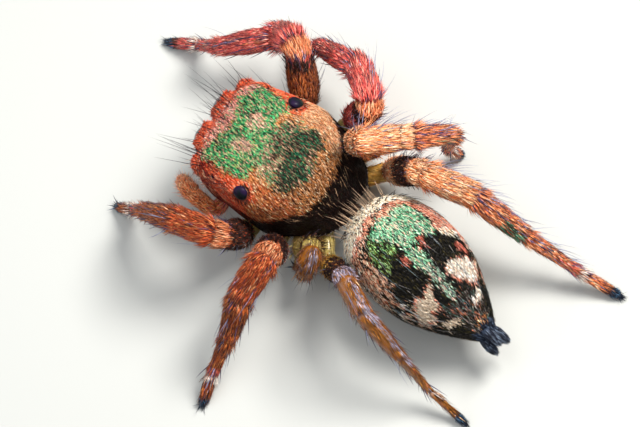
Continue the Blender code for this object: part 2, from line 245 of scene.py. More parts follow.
SOFT = Mix(((0.46, 0.24, 0.15, 0.0, 3), (0.05, 0.36, 0.14, 0.3, 3.2), (0.08, 0.05, 0.03, 0.0, 2.6),
            (0.80, 0.48, 0.33, 0.0, 1.2)))
BARE = Mix(((0.008, 0.003, 0.002, 0.1, 6), (0.03, 0.008, 0.004, 0.0, 1.6), (0.02, 0.04, 0.02, 0.4, 0.3)))
MAROON = Mix(((0.12, 0.012, 0.008, 0.0, 4), (0.24, 0.03, 0.015, 0.0, 2), (0.04, 0.008, 0.006, 0.0, 2)))
BLACK = Mix(((0.006, 0.005, 0.003, 0.1, 6), (0.042, 0.034, 0.010, 0.2, 1.7),
             (0.003, 0.003, 0.004, 0.2, 3.4)))
CREAM = Mix(((0.90, 0.76, 0.62, 0.0, 5), (0.72, 0.50, 0.36, 0.0, 2.0), (0.98, 0.92, 0.84, 0.0, 2.6)))
BAND = Mix(((0.94, 0.78, 0.58, 0.0, 5), (0.72, 0.48, 0.30, 0.0, 1.6), (0.98, 0.91, 0.78, 0.0, 2.4),
            (0.05, 0.03, 0.02, 0.0, 0.4)))
ROSE = Mix(((0.76, 0.30, 0.20, 0.0, 4), (0.54, 0.14, 0.08, 0.0, 2.2), (0.88, 0.56, 0.40, 0.0, 2.0),
            (0.05, 0.03, 0.02, 0.1, 0.9)))
STREAKS = Mix(((0.76, 0.36, 0.22, 0.0, 4), (0.86, 0.62, 0.44, 0.0, 3), (0.035, 0.02, 0.012, 0.1, 2.6),
               (0.48, 0.13, 0.06, 0.0, 1.8)))
MINT = Mix(((0.24, 0.58, 0.34, 0.2, 5), (0.56, 0.80, 0.56, 0.2, 2.6), (0.06, 0.30, 0.14, 0.3, 2.6),
            (0.88, 0.58, 0.42, 0.0, 2.2), (0.02, 0.03, 0.02, 0.1, 2.4)))
OLIVE = Mix(((0.11, 0.13, 0.02, 0.2, 3.0), (0.44, 0.72, 0.28, 0.3, 3.4), (0.12, 0.34, 0.10, 0.3, 1.6),
             (0.02, 0.022, 0.01, 0.1, 3.2)))
CORAL = Mix(((0.58, 0.14, 0.09, 0.0, 5), (0.82, 0.34, 0.25, 0.0, 1.6), (0.30, 0.05, 0.03, 0.0, 2)))
# A darker cream: on the left side's patches, the cream painted in shade.
DUN = Mix(((0.60, 0.47, 0.35, 0.0, 5), (0.42, 0.30, 0.20, 0.0, 2), (0.76, 0.64, 0.50, 0.0, 2)))
GREY = Mix(((0.30, 0.46, 0.34, 0.2, 4), (0.66, 0.40, 0.33, 0.0, 2.0), (0.04, 0.04, 0.03, 0.1, 3.0),
            (0.50, 0.70, 0.50, 0.2, 1.8)))
REAR = Mix(((0.035, 0.025, 0.02, 0.1, 5), (0.22, 0.18, 0.16, 0.0, 1.7), (0.42, 0.14, 0.08, 0.0, 1.0),
            (0.12, 0.20, 0.16, 0.4, 1.0)))
BELLY = Mix(((0.36, 0.27, 0.18, 0.0, 4), (0.55, 0.44, 0.32, 0.0, 3), (0.10, 0.07, 0.05, 0.0, 2)))
ORANGE = Mix(((0.92, 0.28, 0.09, 0.0, 5), (0.98, 0.46, 0.23, 0.0, 2.2), (0.66, 0.13, 0.03, 0.0, 2.8),
              (0.16, 0.04, 0.03, 0.1, 0.8)))
EMBER = Mix(((0.86, 0.26, 0.10, 0.0, 5), (0.95, 0.44, 0.24, 0.0, 1.7), (0.48, 0.10, 0.04, 0.0, 2.6),
             (0.26, 0.18, 0.28, 0.1, 0.8), (0.06, 0.02, 0.03, 0.1, 1.2)))
RUST = Mix(((0.56, 0.105, 0.030, 0.0, 5), (0.84, 0.28, 0.10, 0.0, 1.8), (0.36, 0.045, 0.015, 0.0, 2.8),
            (0.08, 0.02, 0.02, 0.1, 1.1)))
BURNT = Mix(((0.46, 0.10, 0.02, 0.0, 5), (0.72, 0.24, 0.06, 0.0, 1.5), (0.20, 0.03, 0.01, 0.0, 3.0),
             (0.05, 0.015, 0.01, 0.1, 1.2)))
ROSY = Mix(((0.84, 0.15, 0.12, 0.0, 5), (0.94, 0.34, 0.26, 0.0, 1.6), (0.50, 0.055, 0.05, 0.0, 2.6),
            (0.18, 0.05, 0.08, 0.1, 0.9)))
BROWN = Mix(((0.29, 0.095, 0.010, 0.0, 5), (0.17, 0.050, 0.007, 0.0, 3), (0.52, 0.21, 0.03, 0.0, 1.2)))
CAP = Mix(((0.72, 0.24, 0.10, 0.0, 5), (0.92, 0.46, 0.26, 0.0, 2.0), (0.44, 0.09, 0.030, 0.0, 2.6),
           (0.05, 0.02, 0.02, 0.0, 0.7)))
UMBER = Mix(((0.24, 0.055, 0.012, 0.0, 5), (0.42, 0.13, 0.03, 0.0, 1.8), (0.08, 0.016, 0.008, 0.0, 3)))
VIOLET = Mix(((0.16, 0.11, 0.20, 0.1, 4), (0.07, 0.04, 0.09, 0.1, 3), (0.32, 0.27, 0.40, 0.1, 1.6)))
AMBER = Mix(((0.74, 0.38, 0.06, 0.0, 5), (0.86, 0.56, 0.16, 0.0, 2), (0.50, 0.20, 0.03, 0.0, 2.4)))
YELLOW = Mix(((0.62, 0.46, 0.12, 0.0, 5), (0.74, 0.60, 0.24, 0.0, 2), (0.42, 0.28, 0.06, 0.0, 2)))
DUSK = Mix(((0.035, 0.014, 0.010, 0.1, 5), (0.12, 0.035, 0.02, 0.1, 2), (0.01, 0.006, 0.006, 0.0, 3)))
SEAM = Mix(((0.06, 0.03, 0.06, 0.1, 5), (0.20, 0.08, 0.12, 0.1, 2), (0.02, 0.01, 0.015, 0.0, 2)))
PEACH = Mix(((0.96, 0.46, 0.24, 0.0, 5), (0.98, 0.66, 0.44, 0.0, 2.4), (0.74, 0.22, 0.07, 0.0, 2.4)))
# Lilac-grey: the glossy legs' strip along the top, partly painted highlight, and one femur's cap.
LILAC = Mix(((0.38, 0.33, 0.44, 0.1, 5), (0.60, 0.54, 0.64, 0.1, 1.8), (0.40, 0.18, 0.06, 0.0, 2.4)))
# Dark blue-black, with a share of pale blue painted highlight.
INK = Mix(((0.02, 0.03, 0.055, 0.3, 5), (0.10, 0.14, 0.22, 0.3, 1.6), (0.008, 0.01, 0.02, 0.2, 3)))
PALE = Mix(((0.80, 0.68, 0.60, 0.0, 4), (0.62, 0.44, 0.36, 0.0, 2)))
GREENISH = Mix(((0.03, 0.05, 0.03, 0.2, 4), (0.20, 0.48, 0.30, 0.3, 3), (0.14, 0.03, 0.01, 0.0, 2.4)))
HORN = Mix(((0.16, 0.04, 0.015, 0.1, 4), (0.26, 0.08, 0.03, 0.1, 2)))


def layered(zones: list, count: int, rng: np.random.Generator | None) -> Array:
    """Colours of zones laid over each other.

    Args:
        zones: pairs of a mask from 0 to 1 and a Mix. Each covers what is before it.
        count: how many places there are.
        rng: picks one zone's one colour for each place. Without it a place has the means.

    Returns:
        Red, green, blue and shine of each place.
    """
    colour = np.zeros((count, 4))
    for mask, mix in zones:
        mask = np.broadcast_to(mask, count)
        if rng is None:
            colour = colour + (mix.mean() - colour) * mask[:, None]
        else:
            covered = rng.random(count) < mask
            colour = np.where(covered[:, None], mix.pick(rng.random(count)), colour)
    return colour


class Shader:
    """A material's nodes, with short calls to add and join them."""

    def __init__(self, name: str) -> None:
        """Start a material with its one surface shader."""
        self.material = bpy.data.materials.new(name)
        self.material.use_nodes = True
        self.tree = self.material.node_tree
        self.surface = self.tree.nodes["Principled BSDF"]
        self.place = self.tree.nodes.new("ShaderNodeTexCoord").outputs["Object"]

    def add(self, kind: str, settings: dict | None = None, **sockets: object) -> bpy.types.Node:
        """Add a node.

        Args:
            kind: the node's type name after ShaderNode.
            settings: its own properties.
            sockets: input values, or outputs to join, by the input's name or number.

        Returns:
            The node.
        """
        node = self.tree.nodes.new("ShaderNode" + kind)
        for key, value in (settings or {}).items():
            setattr(node, key, value)
        for key, value in sockets.items():
            target = node.inputs[int(key[1:]) if key[0] == "_" else key]
            if isinstance(value, bpy.types.NodeSocket):
                self.tree.links.new(value, target)
            else:
                target.default_value = value
        return node

    def noise(self, scale: float, detail: float = 2.0) -> bpy.types.NodeSocket:
        """A noise value on the object's own coordinates."""
        return self.add("TexNoise", None, Vector=self.place, Scale=scale, Detail=detail).outputs[0]

    def between(self, value: bpy.types.NodeSocket, low: float, high: float) -> bpy.types.NodeSocket:
        """A noise value spread from low to high."""
        node = self.add("MapRange", None, _0=value, _1=0.3, _2=0.7, _3=low, _4=high)
        return node.outputs[0]

    def tinted(self, colour: bpy.types.NodeSocket, value: bpy.types.NodeSocket) -> bpy.types.NodeSocket:
        """A colour made lighter or darker by a value."""
        node = self.add("Mix", {"data_type": "RGBA", "blend_type": "MULTIPLY"}, _0=1.0, _6=colour, _7=value)
        return node.outputs[2]

    def wire(self, **sockets: object) -> None:
        """Join or set inputs of the surface shader, with _ for a space in their names."""
        for key, value in sockets.items():
            target = self.surface.inputs[key.replace("_", " ")]
            if isinstance(value, bpy.types.NodeSocket):
                self.tree.links.new(value, target)
            else:
                target.default_value = value


@dataclass(frozen=True)
class PaintedFinish:
    """Cuticle, scales or hair that takes its colour and shine from the mesh's Paint attribute."""

    name: str
    rough_low: float = 0.38
    rough_high: float = 0.62
    fleck: float = 26_000.0
    bump: float = 0.0
    specular: float = 0.5
    coat: float = 0.0

    def build(self) -> bpy.types.Material:
        """The material: paint times fine noise, rough and smooth patches, and pores if it has bump."""
        shader = Shader(self.name)
        paint = shader.add("Attribute", {"attribute_name": "Paint"})
        fine = shader.noise(self.fleck, 3.0)
        shader.wire(
            Base_Color=shader.tinted(paint.outputs["Color"], shader.between(fine, 0.72, 1.25)),
            Metallic=paint.outputs["Alpha"],
            Roughness=shader.between(shader.noise(self.fleck / 3), self.rough_low, self.rough_high),
            Specular_IOR_Level=self.specular,
            Coat_Weight=self.coat,
            Coat_Roughness=0.18,
        )
        if self.bump:
            pores = shader.add("TexVoronoi", None, Vector=shader.place, Scale=self.fleck * 1.4).outputs[0]
            relief = shader.add("Bump", None, Strength=self.bump, Distance=0.00001, Height=pores)
            shader.wire(Normal=relief.outputs[0])
        return shader.material


@dataclass(frozen=True)
class LensFinish:
    """The clear, nearly black eyes, with a faint violet and green glow inside."""

    name: str
    rough: float
    coat: float
    specular: float

    def build(self) -> bpy.types.Material:
        """A dark colour that drifts slowly, under a hard clear coat."""
        shader = Shader(self.name)
        ramp = shader.add("ValToRGB", None, Fac=shader.noise(5200.0, 1.0))
        ramp.color_ramp.elements[0].position = 0.35
        ramp.color_ramp.elements[0].color = (0.003, 0.010, 0.006, 1)
        ramp.color_ramp.elements[1].position = 0.65
        ramp.color_ramp.elements[1].color = (0.016, 0.008, 0.030, 1)
        shader.wire(
            Base_Color=ramp.outputs[0],
            Roughness=shader.between(shader.noise(9000.0), self.rough, self.rough * 1.6),
            Coat_Weight=self.coat,
            Coat_Roughness=0.03,
            Specular_IOR_Level=self.specular,
        )
        return shader.material


@dataclass(frozen=True)
class FloorFinish:
    """A pale, matt studio floor."""

    name: str = "pale_floor"
    colour: tuple = (0.50, 0.51, 0.49, 1.0)

    def build(self) -> bpy.types.Material:
        """Almost plain, with a slow change of tone."""
        shader = Shader(self.name)
        shader.wire(
            Base_Color=shader.tinted(self.colour, shader.between(shader.noise(60.0), 0.97, 1.02)),
            Roughness=0.8,
        )
        return shader.material


@dataclass
class Finishes:
    """Every material of the model, made once."""

    skin: bpy.types.Material = field(default_factory=lambda: PaintedFinish(
        "cuticle", 0.34, 0.55, bump=0.5, specular=0.3).build())
    scales: bpy.types.Material = field(default_factory=lambda: PaintedFinish(
        "scales", 0.34, 0.56, 42_000.0, specular=0.22).build())
    hair: bpy.types.Material = field(default_factory=lambda: PaintedFinish(
        "hair", 0.30, 0.46, 30_000.0, specular=0.35).build())
    bare: bpy.types.Material = field(default_factory=lambda: PaintedFinish(
        "bare_cuticle", 0.20, 0.34, 12_000.0, bump=0.15, specular=0.5, coat=0.3).build())
    horn: bpy.types.Material = field(default_factory=lambda: PaintedFinish(
        "horn", 0.16, 0.30, 14_000.0, bump=0.2, coat=0.5).build())
    lens: bpy.types.Material = field(default_factory=lambda: LensFinish(
        "eye_lens", rough=0.05, coat=0.7, specular=0.25).build())
    dull_lens: bpy.types.Material = field(default_factory=lambda: LensFinish(
        "rear_lens", rough=0.26, coat=0.0, specular=0.08).build())
    floor: bpy.types.Material = field(default_factory=lambda: FloorFinish().build())


def make_mesh(name: str, points: Array, faces: list, colour: Array | None = None,
              patches: Array | None = None) -> bpy.types.Object:
    """One object at the origin, its places in its mesh.

    Args:
        name: the object's name.
        points: vertices in millimetres, forward, left, up.
        faces: arrays of vertex numbers, one array for each number of corners.
        colour: red, green, blue, shine of each vertex, kept as Paint.
        patches: each vertex's place on the OFBake map.

    Returns:
        The object, linked to the scene.
    """
    mesh = bpy.data.meshes.new(name)
    corners = np.concatenate([part.ravel() for part in faces]).astype(np.int32)
    sizes = np.concatenate([np.full(len(part), part.shape[1]) for part in faces])
    mesh.vertices.add(len(points))
    mesh.vertices.foreach_set("co", FRAME.place(points).astype(np.float32).ravel())
    mesh.loops.add(len(corners))
    mesh.loops.foreach_set("vertex_index", corners)
    mesh.polygons.add(len(sizes))
    mesh.polygons.foreach_set("loop_start", np.concatenate(([0], np.cumsum(sizes)[:-1])).astype(np.int32))
    mesh.polygons.foreach_set("use_smooth", np.ones(len(sizes), bool))
    mesh.update(calc_edges=True)
    if colour is not None:
        layer = mesh.color_attributes.new("Paint", "FLOAT_COLOR", "POINT")
        layer.data.foreach_set("color", np.clip(colour, 0, 1).astype(np.float32).ravel())
    if patches is not None:
        layer = mesh.uv_layers.new(name="OFBake")
        layer.data.foreach_set("uv", np.clip(patches[corners], 0.001, 0.999).astype(np.float32).ravel())
    item = bpy.data.objects.new(name, mesh)
    bpy.context.scene.collection.objects.link(item)
    return item


def settle(item: bpy.types.Object, material: bpy.types.Material, slot: Slot, *nodes: str) -> None:
    """Give a piece its material, let it ride on the body and stand for the nodes it replaces."""
    item.data.materials.append(material)
    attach(item, "root")
    if nodes:
        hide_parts(*nodes)
    LOG.info("%s: %d faces", item.name, len(item.data.polygons))


@dataclass
class Roots:
    """Places on a skin: points, outward normals, the direction along it, and row and column."""

    point: Array
    normal: Array
    along: Array
    row: Array
    column: Array

    def only(self, keep: Array) -> Roots:
        """The places where keep is true."""
        return Roots(self.point[keep], self.normal[keep], self.along[keep], self.row[keep],
                     self.column[keep])

    def thin(self, rng: np.random.Generator, number: float) -> Roots:
        """About a number of the places, picked at random."""
        return self.only(rng.random(len(self)) < number / max(len(self), 1))

    def laid(self, aim: Array) -> Array:
        """Directions laid down on the skin, at length one: aim less its share along the normal."""
        return unit(aim - self.normal * (aim * self.normal).sum(axis=1, keepdims=True))

    def __len__(self) -> int:
        """How many places there are."""
        return len(self.point)


@dataclass
class Skin:
    """A closed surface: a grid of points, rows along it and columns round it, with a pole at each end."""

    points: Array
    sign: float = field(init=False, default=1.0)

    def __post_init__(self) -> None:
        """Work out the outward side, from the mean of the normals against the rings' middles."""
        middle = self.points.mean(axis=1, keepdims=True)
        self.sign = np.sign((self.normals() * (self.points - middle)).sum())

    def normals(self) -> Array:
        """The cross product of the slope along the grid and the slope round it."""
        along = np.gradient(self.points, axis=0)
        around = np.roll(self.points, -1, axis=1) - np.roll(self.points, 1, axis=1)
        return unit(np.cross(along, around)) * self.sign

    def everywhere(self) -> Roots:
        """Every grid point as a place."""
        rows, columns = self.points.shape[:2]
        row, column = np.divmod(np.arange(rows * columns, dtype=float), columns)
        along = unit(np.gradient(self.points, axis=0))
        return Roots(self.points.reshape(-1, 3), self.normals().reshape(-1, 3), along.reshape(-1, 3),
                     row, column)

    def roots(self, rng: np.random.Generator, count: int) -> Roots:
        """Places spread over the surface by area.

        Args:
            rng: the seeded generator.
            count: how many places.

        Returns:
            The places, by mixing each cell's four corners.
        """
        around = np.roll(self.points, -1, axis=1)
        area = np.linalg.norm(np.cross(np.diff(self.points, axis=0), (around - self.points)[:-1]), axis=-1)
        reach = np.cumsum(area.ravel())
        want = (np.arange(count) + rng.random(count)) / count * reach[-1]
        cell = np.minimum(np.searchsorted(reach, want), area.size - 1)
        row, column = np.divmod(cell, area.shape[1])
        s, t = rng.random((2, count, 1))
        after = (column + 1) % area.shape[1]
        mixed = []
        for values in (self.points, self.normals()):
            near = values[row, column] * (1 - t) + values[row, after] * t
            far = values[row + 1, column] * (1 - t) + values[row + 1, after] * t
            mixed.append(near * (1 - s) + far * s)
        along = self.points[row + 1, column] - self.points[row, column]
        return Roots(mixed[0], unit(mixed[1]), unit(along), row + s[:, 0], column + t[:, 0])

    def build(self, name: str, colour: Array) -> bpy.types.Object:
        """The skin's object, with a cap to a pole at each end, painted by its grid points' colours."""
        rows, columns = self.points.shape[:2]
        index = np.arange(rows * columns).reshape(rows, columns)
        onward = np.roll(index, -1, axis=1)
        quads = np.stack((index[:-1], index[1:], onward[1:], onward[:-1]), axis=-1).reshape(-1, 4)
        poles = np.full(columns, rows * columns)
        caps = np.concatenate((np.stack((index[0], onward[0], poles), axis=1),
                               np.stack((onward[-1], index[-1], poles + 1), axis=1)))
        if self.sign < 0:
            quads = quads[:, ::-1]
            caps = caps[:, ::-1]
        ends = np.stack((self.points[0].mean(axis=0), self.points[-1].mean(axis=0)))
        points = np.concatenate((self.points.reshape(-1, 3), ends))
        colour = colour.reshape(rows, columns, 4)
        tips = np.stack((colour[0].mean(axis=0), colour[-1].mean(axis=0)))
        return make_mesh(name, points, [quads, caps], np.concatenate((colour.reshape(-1, 4), tips)))

    def painted(self, name: str, zones: Callable[[Roots], list], shade: float | Array) -> bpy.types.Object:
        """The skin's object in its zones' mean colours, times a shade: painted shade under a coat, a mottle
        elsewhere.
        """
        places = self.everywhere()
        colour = layered(zones(places), len(places), None)
        colour[:, :3] *= shade
        return self.build(name, colour)


@dataclass
class Coat:
    """Scales and hairs on one skin, gathered as closed tufts and built as one or more pieces."""

    skin: Skin
    parts: list = field(default_factory=list)

    def gather(self, shape: Array, faces: Array, colour: Array, patch: Array) -> None:
        """Keep the tufts that are over the floor.

        Args:
            shape: each tuft's vertices.
            faces: the one set of faces that they share.
            colour: red, green, blue, shine of each vertex.
            patch: each vertex's place on the OFBake map.
        """
        over = shape[..., 2].min(axis=1) > TUFT_FLOOR
        self.parts.append((shape[over], faces, np.clip(colour[over], 0, 1), patch[over]))

    def home(self, roots: Roots) -> Array:
        """Where each root is on the unwrap of the skin: round it and along it, from 0 to 1."""
        rows, columns = self.skin.points.shape[:2]
        return np.stack((roots.column / columns, roots.row / rows), axis=1)

    def scales(self, rng: np.random.Generator, roots: Roots, aim: Array, length: Array, width: tuple,
               lift: tuple, zones: list, vary: float = 0.22) -> None:
        """Flat spindles of five vertices that lie along the skin.

        Args:
            rng: the seeded generator.
            roots: where they grow.
            aim: the direction in which each lies, before it is laid on the skin.
            length: the length of each.
            width: the middle width, and the share by which it varies.
            lift: how far the tip stands off as a share of the length, and how that varies.
            zones: the colours of their places.
            vary: how much lighter or darker each is than its colour.
        """
        count = len(roots)
        width = spread(rng, count, *width)
        lift = spread(rng, count, *lift)
        colour = tinge(rng, layered(zones, count, rng), vary)
        heading = roots.laid(aim)
        side = np.cross(roots.normal, heading)
        form = np.array(((0.0, 0.0, -0.1), (0.42, 0.5, 0.0), (0.45, 0.0, 0.26), (0.42, -0.5, 0.0),
                         (1.0, 0.0, 0.0)))
        shape = (roots.point[:, None]
                 + heading[:, None] * (form[:, 0] * length[:, None])[..., None]
                 + side[:, None] * (form[:, 1] * width[:, None])[..., None]
                 + roots.normal[:, None] * (form[:, 0] * (length * lift)[:, None]
                                            + form[:, 2] * width[:, None])[..., None])
        faces = np.array(((0, 2, 1), (0, 3, 2), (4, 1, 2), (4, 2, 3), (0, 1, 3), (4, 3, 1)))
        # Painted shade and highlight on each scale: darker at its root, under the others, and lighter on
        # its raised ridge and tip.
        shade = np.array((0.6, 0.9, 1.12, 0.9, 1.15))
        paint = np.repeat(colour[:, None], 5, axis=1)
        paint[..., :3] *= shade[None, :, None]
        patch = self.home(roots)[:, None] + PATCH * np.stack((form[:, 1] * 2, form[:, 0] * 2 - 1), axis=1)
        self.gather(shape, faces, paint, patch)

    def hairs(self, roots: Roots, aim: Array, length: Array, radius: float | Array, bend: Array,
              colour: Array, rings: int = 2, tip: float = 1.0) -> None:
        """Three-sided cones that taper and curve: middle = root + length (aim t + bend t^2).

        Args:
            roots: where they grow.
            aim: the direction in which each sets out.
            length, radius: the length of each, and the radius at the root, which falls as (1 - t)^0.7.
            bend: how far it curves away by its tip, as a share of its length.
            colour: red, green, blue, shine of each.
            rings: how many rings it has before its tip.
            tip: how much lighter or darker it is at the tip.
        """
        count = len(roots)
        radius = np.broadcast_to(radius, count)
        aim = unit(aim)
        side = unit(np.cross(aim, roots.normal + np.array((0.013, 0.007, 0.003))))
        other = np.cross(aim, side)
        t = np.linspace(0, 1, rings + 1)
        start = roots.point - roots.normal * radius[:, None]
        middle = start[:, None] + length[:, None, None] * (aim[:, None] * t[:, None]
                                                          + bend[:, None] * (t**2)[:, None])
        size = radius[:, None] * (1 - t[:-1]) ** 0.7
        turn = np.radians((0, 120, 240))
        ring = (np.cos(turn)[:, None] * side[:, None] + np.sin(turn)[:, None] * other[:, None])
        shape = middle[:, :-1, None] + size[:, :, None, None] * ring[:, None]
        shape = np.concatenate((shape.reshape(count, -1, 3), middle[:, -1:]), axis=1)
        faces = [(0, 2, 1)]
        for level in range(rings - 1):
            for corner in range(3):
                a = 3 * level + corner
                b = 3 * level + (corner + 1) % 3
                faces += [(a, b, b + 3), (a, b + 3, a + 3)]
        last = 3 * (rings - 1)
        faces += [(last + corner, last + (corner + 1) % 3, 3 * rings) for corner in range(3)]
        shade = np.append(np.repeat(np.linspace(1, tip, rings + 1)[:-1], 3), tip)
        paint = np.repeat(colour[:, None], 3 * rings + 1, axis=1)
        paint[..., :3] *= shade[None, :, None]
        around = np.append(np.tile((-1.0, 0.0, 1.0), rings), 0.0)
        up = np.append(np.repeat(t[:-1], 3), 1.0) * 2 - 1
        patch = self.home(roots)[:, None] + PATCH * np.stack((around, up), axis=1)
        self.gather(shape, np.array(faces), paint, patch)

    def build(self, name: str, material: bpy.types.Material, slot: Slot) -> None:
        """Build what was gathered, in pieces that each stay under the limit of triangles."""
        batches = [[]]
        room = MOST_TRIANGLES
        for shape, faces, paint, patch in self.parts:
            done = 0
            while done < len(shape):
                take = min(len(shape) - done, max(room // len(faces), 0))
                if take == 0:
                    batches.append([])
                    room = MOST_TRIANGLES
                    continue
                part = slice(done, done + take)
                batches[-1].append((shape[part], faces, paint[part], patch[part]))
                done += take
                room -= take * len(faces)
        for number, batch in enumerate(batches):
            base = 0
            corners = []
            for shape, faces, _, _ in batch:
                offset = base + np.arange(len(shape)) * shape.shape[1]
                corners.append((faces[None] + offset[:, None, None]).reshape(-1, 3))
                base += shape.shape[0] * shape.shape[1]
            points = np.concatenate([shape.reshape(-1, 3) for shape, _, _, _ in batch])
            paint = np.concatenate([paint.reshape(-1, 4) for _, _, paint, _ in batch])
            patch = np.concatenate([patch.reshape(-1, 2) for _, _, _, patch in batch])
            title = name if len(batches) == 1 else f"{name}_{number + 1}"
            settle(make_mesh(title, points, [np.concatenate(corners)], paint, patch), material, slot)
        self.parts = []


def spread(rng: np.random.Generator, count: int, middle: float, share: float = 0.3) -> Array:
    """Random sizes round a middle one, by up to a share of it."""
    return middle * (1 + share * (2 * rng.random(count) - 1))


def jitter(rng: np.random.Generator, vectors: Array, amount: float) -> Array:
    """Vectors turned a little at random, at length one."""
    return unit(unit(vectors) + amount * rng.normal(size=vectors.shape))


def tinge(rng: np.random.Generator, colour: Array, amount: float = 0.18) -> Array:
    """Colours each a little lighter or darker than given."""
    varied = colour.copy()
    varied[:, :3] *= (1 + amount * rng.normal(size=(len(colour), 1))).clip(0.4, 1.7)
    return varied


def plain(count: int, *colour: float) -> Array:
    """The same colour for each of a number of places."""
    return np.tile(np.array(colour, float), (count, 1))


def either(rng: np.random.Generator, count: int, share: float, first: tuple, second: tuple) -> Array:
    """The first colour at a share of the places, picked at random, and the second at the others."""
    return np.where((rng.random(count) < share)[:, None], plain(count, *first), plain(count, *second))


@dataclass
class Eye:
    """One eye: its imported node, its lens and the way it looks."""

    node: str
    radius: float
    centre: tuple
    look: tuple
    brow: float
    flat: float = 1.0

    @property
    def front(self) -> bool:
        """Whether it is one of the four large eyes of the face."""
        return self.radius > 0.14

    def around(self, points: Array) -> tuple:
        """Distance from the eye's axis, and height along it, of each point."""
        axis = unit(np.array(self.look))
        offset = points - np.array(self.centre)
        height = offset @ axis
        return np.linalg.norm(offset - height[..., None] * axis, axis=-1), height

    def swell(self, points: Array) -> Array:
        """How the skin moves near the eye: a ridge round the lens, and a socket under it."""
        away, height = self.around(points)
        over = rise(points[..., 2] - self.centre[2], 0.3 * self.radius, 0.9 * self.radius)
        ridge = self.brow * (1 + over) * np.exp(-(np.maximum(away - self.radius * 1.08, 0)
                                                  / (0.26 * self.radius)) ** 2)
        wide = np.abs(points[..., 1])
        ridge *= rise(away, self.radius * 0.80, self.radius * 1.05) * rise(np.minimum(
            wide, np.abs(wide - 0.59)), -0.02, 0.12)
        socket = -0.5 * self.radius * rise(away, self.radius * 0.95, self.radius * 0.5)
        facing = rise(height, -0.75 * self.radius, 0.1 * self.radius)
        return ((ridge + socket) * facing)[..., None] * unit(np.array(self.look))

    def lashes(self, roots: Roots) -> Array:
        """The way the coat lies round the eye: forward on the brow, and outward on its face."""
        axis = unit(np.array(self.look))
        offset = roots.point - np.array(self.centre)
        outward = unit(offset - (offset @ axis)[:, None] * axis)
        facing = rise(roots.normal @ axis, 0.55, 0.9)[:, None]
        return axis * (1 - facing) + outward * facing

    def build(self, lens: bpy.types.Material) -> None:
        """The lens: a smooth globe, or a flatter one, its rows round the way it looks."""
        axis = unit(np.array(self.look))
        side = unit(np.cross(axis, UP))
        up = np.cross(side, axis)
        rows, sides = 36, 48
        lean = np.linspace(0.03, np.pi - 0.03, rows)[:, None, None]
        turn = np.linspace(0, 2 * np.pi, sides, endpoint=False)[None, :, None]
        globe = self.flat * np.cos(lean) * axis + np.sin(lean) * (np.cos(turn) * side + np.sin(turn) * up)
        skin = Skin(np.array(self.centre) + self.radius * globe)
        item = skin.build(self.node + "_lens", plain(rows * sides, 0.01, 0.01, 0.015, 0.0))
        settle(item, lens, Slot.EYE, self.node)


def eye_pairs() -> list:
    """The eight eyes."""
    pairs = (
        ("eye_front_middle", 0.270, (0.66, 0.295, 1.46), (1.0, 0.10, 0.04), 0.062),
        ("eye_front_side", 0.150, (0.58, 0.705, 1.52), (0.80, 0.52, 0.22), 0.034),
        ("eye_small", 0.045, (0.15, 0.830, 1.715), (0.1, 0.75, 0.65), 0.012),
        ("eye_rear", 0.128, (-0.42, 0.875, 1.725), (-0.12, 0.78, 0.60), 0.022),
    )
    made = []
    for node, radius, (forward, left, up), look, brow in pairs:
        for side, sign in (("left", 1), ("right", -1)):
            made.append(Eye(f"{node}_{side}", radius, (forward, sign * left, up),
                            (look[0], sign * look[1], look[2]), brow, 0.6 if node == "eye_rear" else 1.0))
    return made


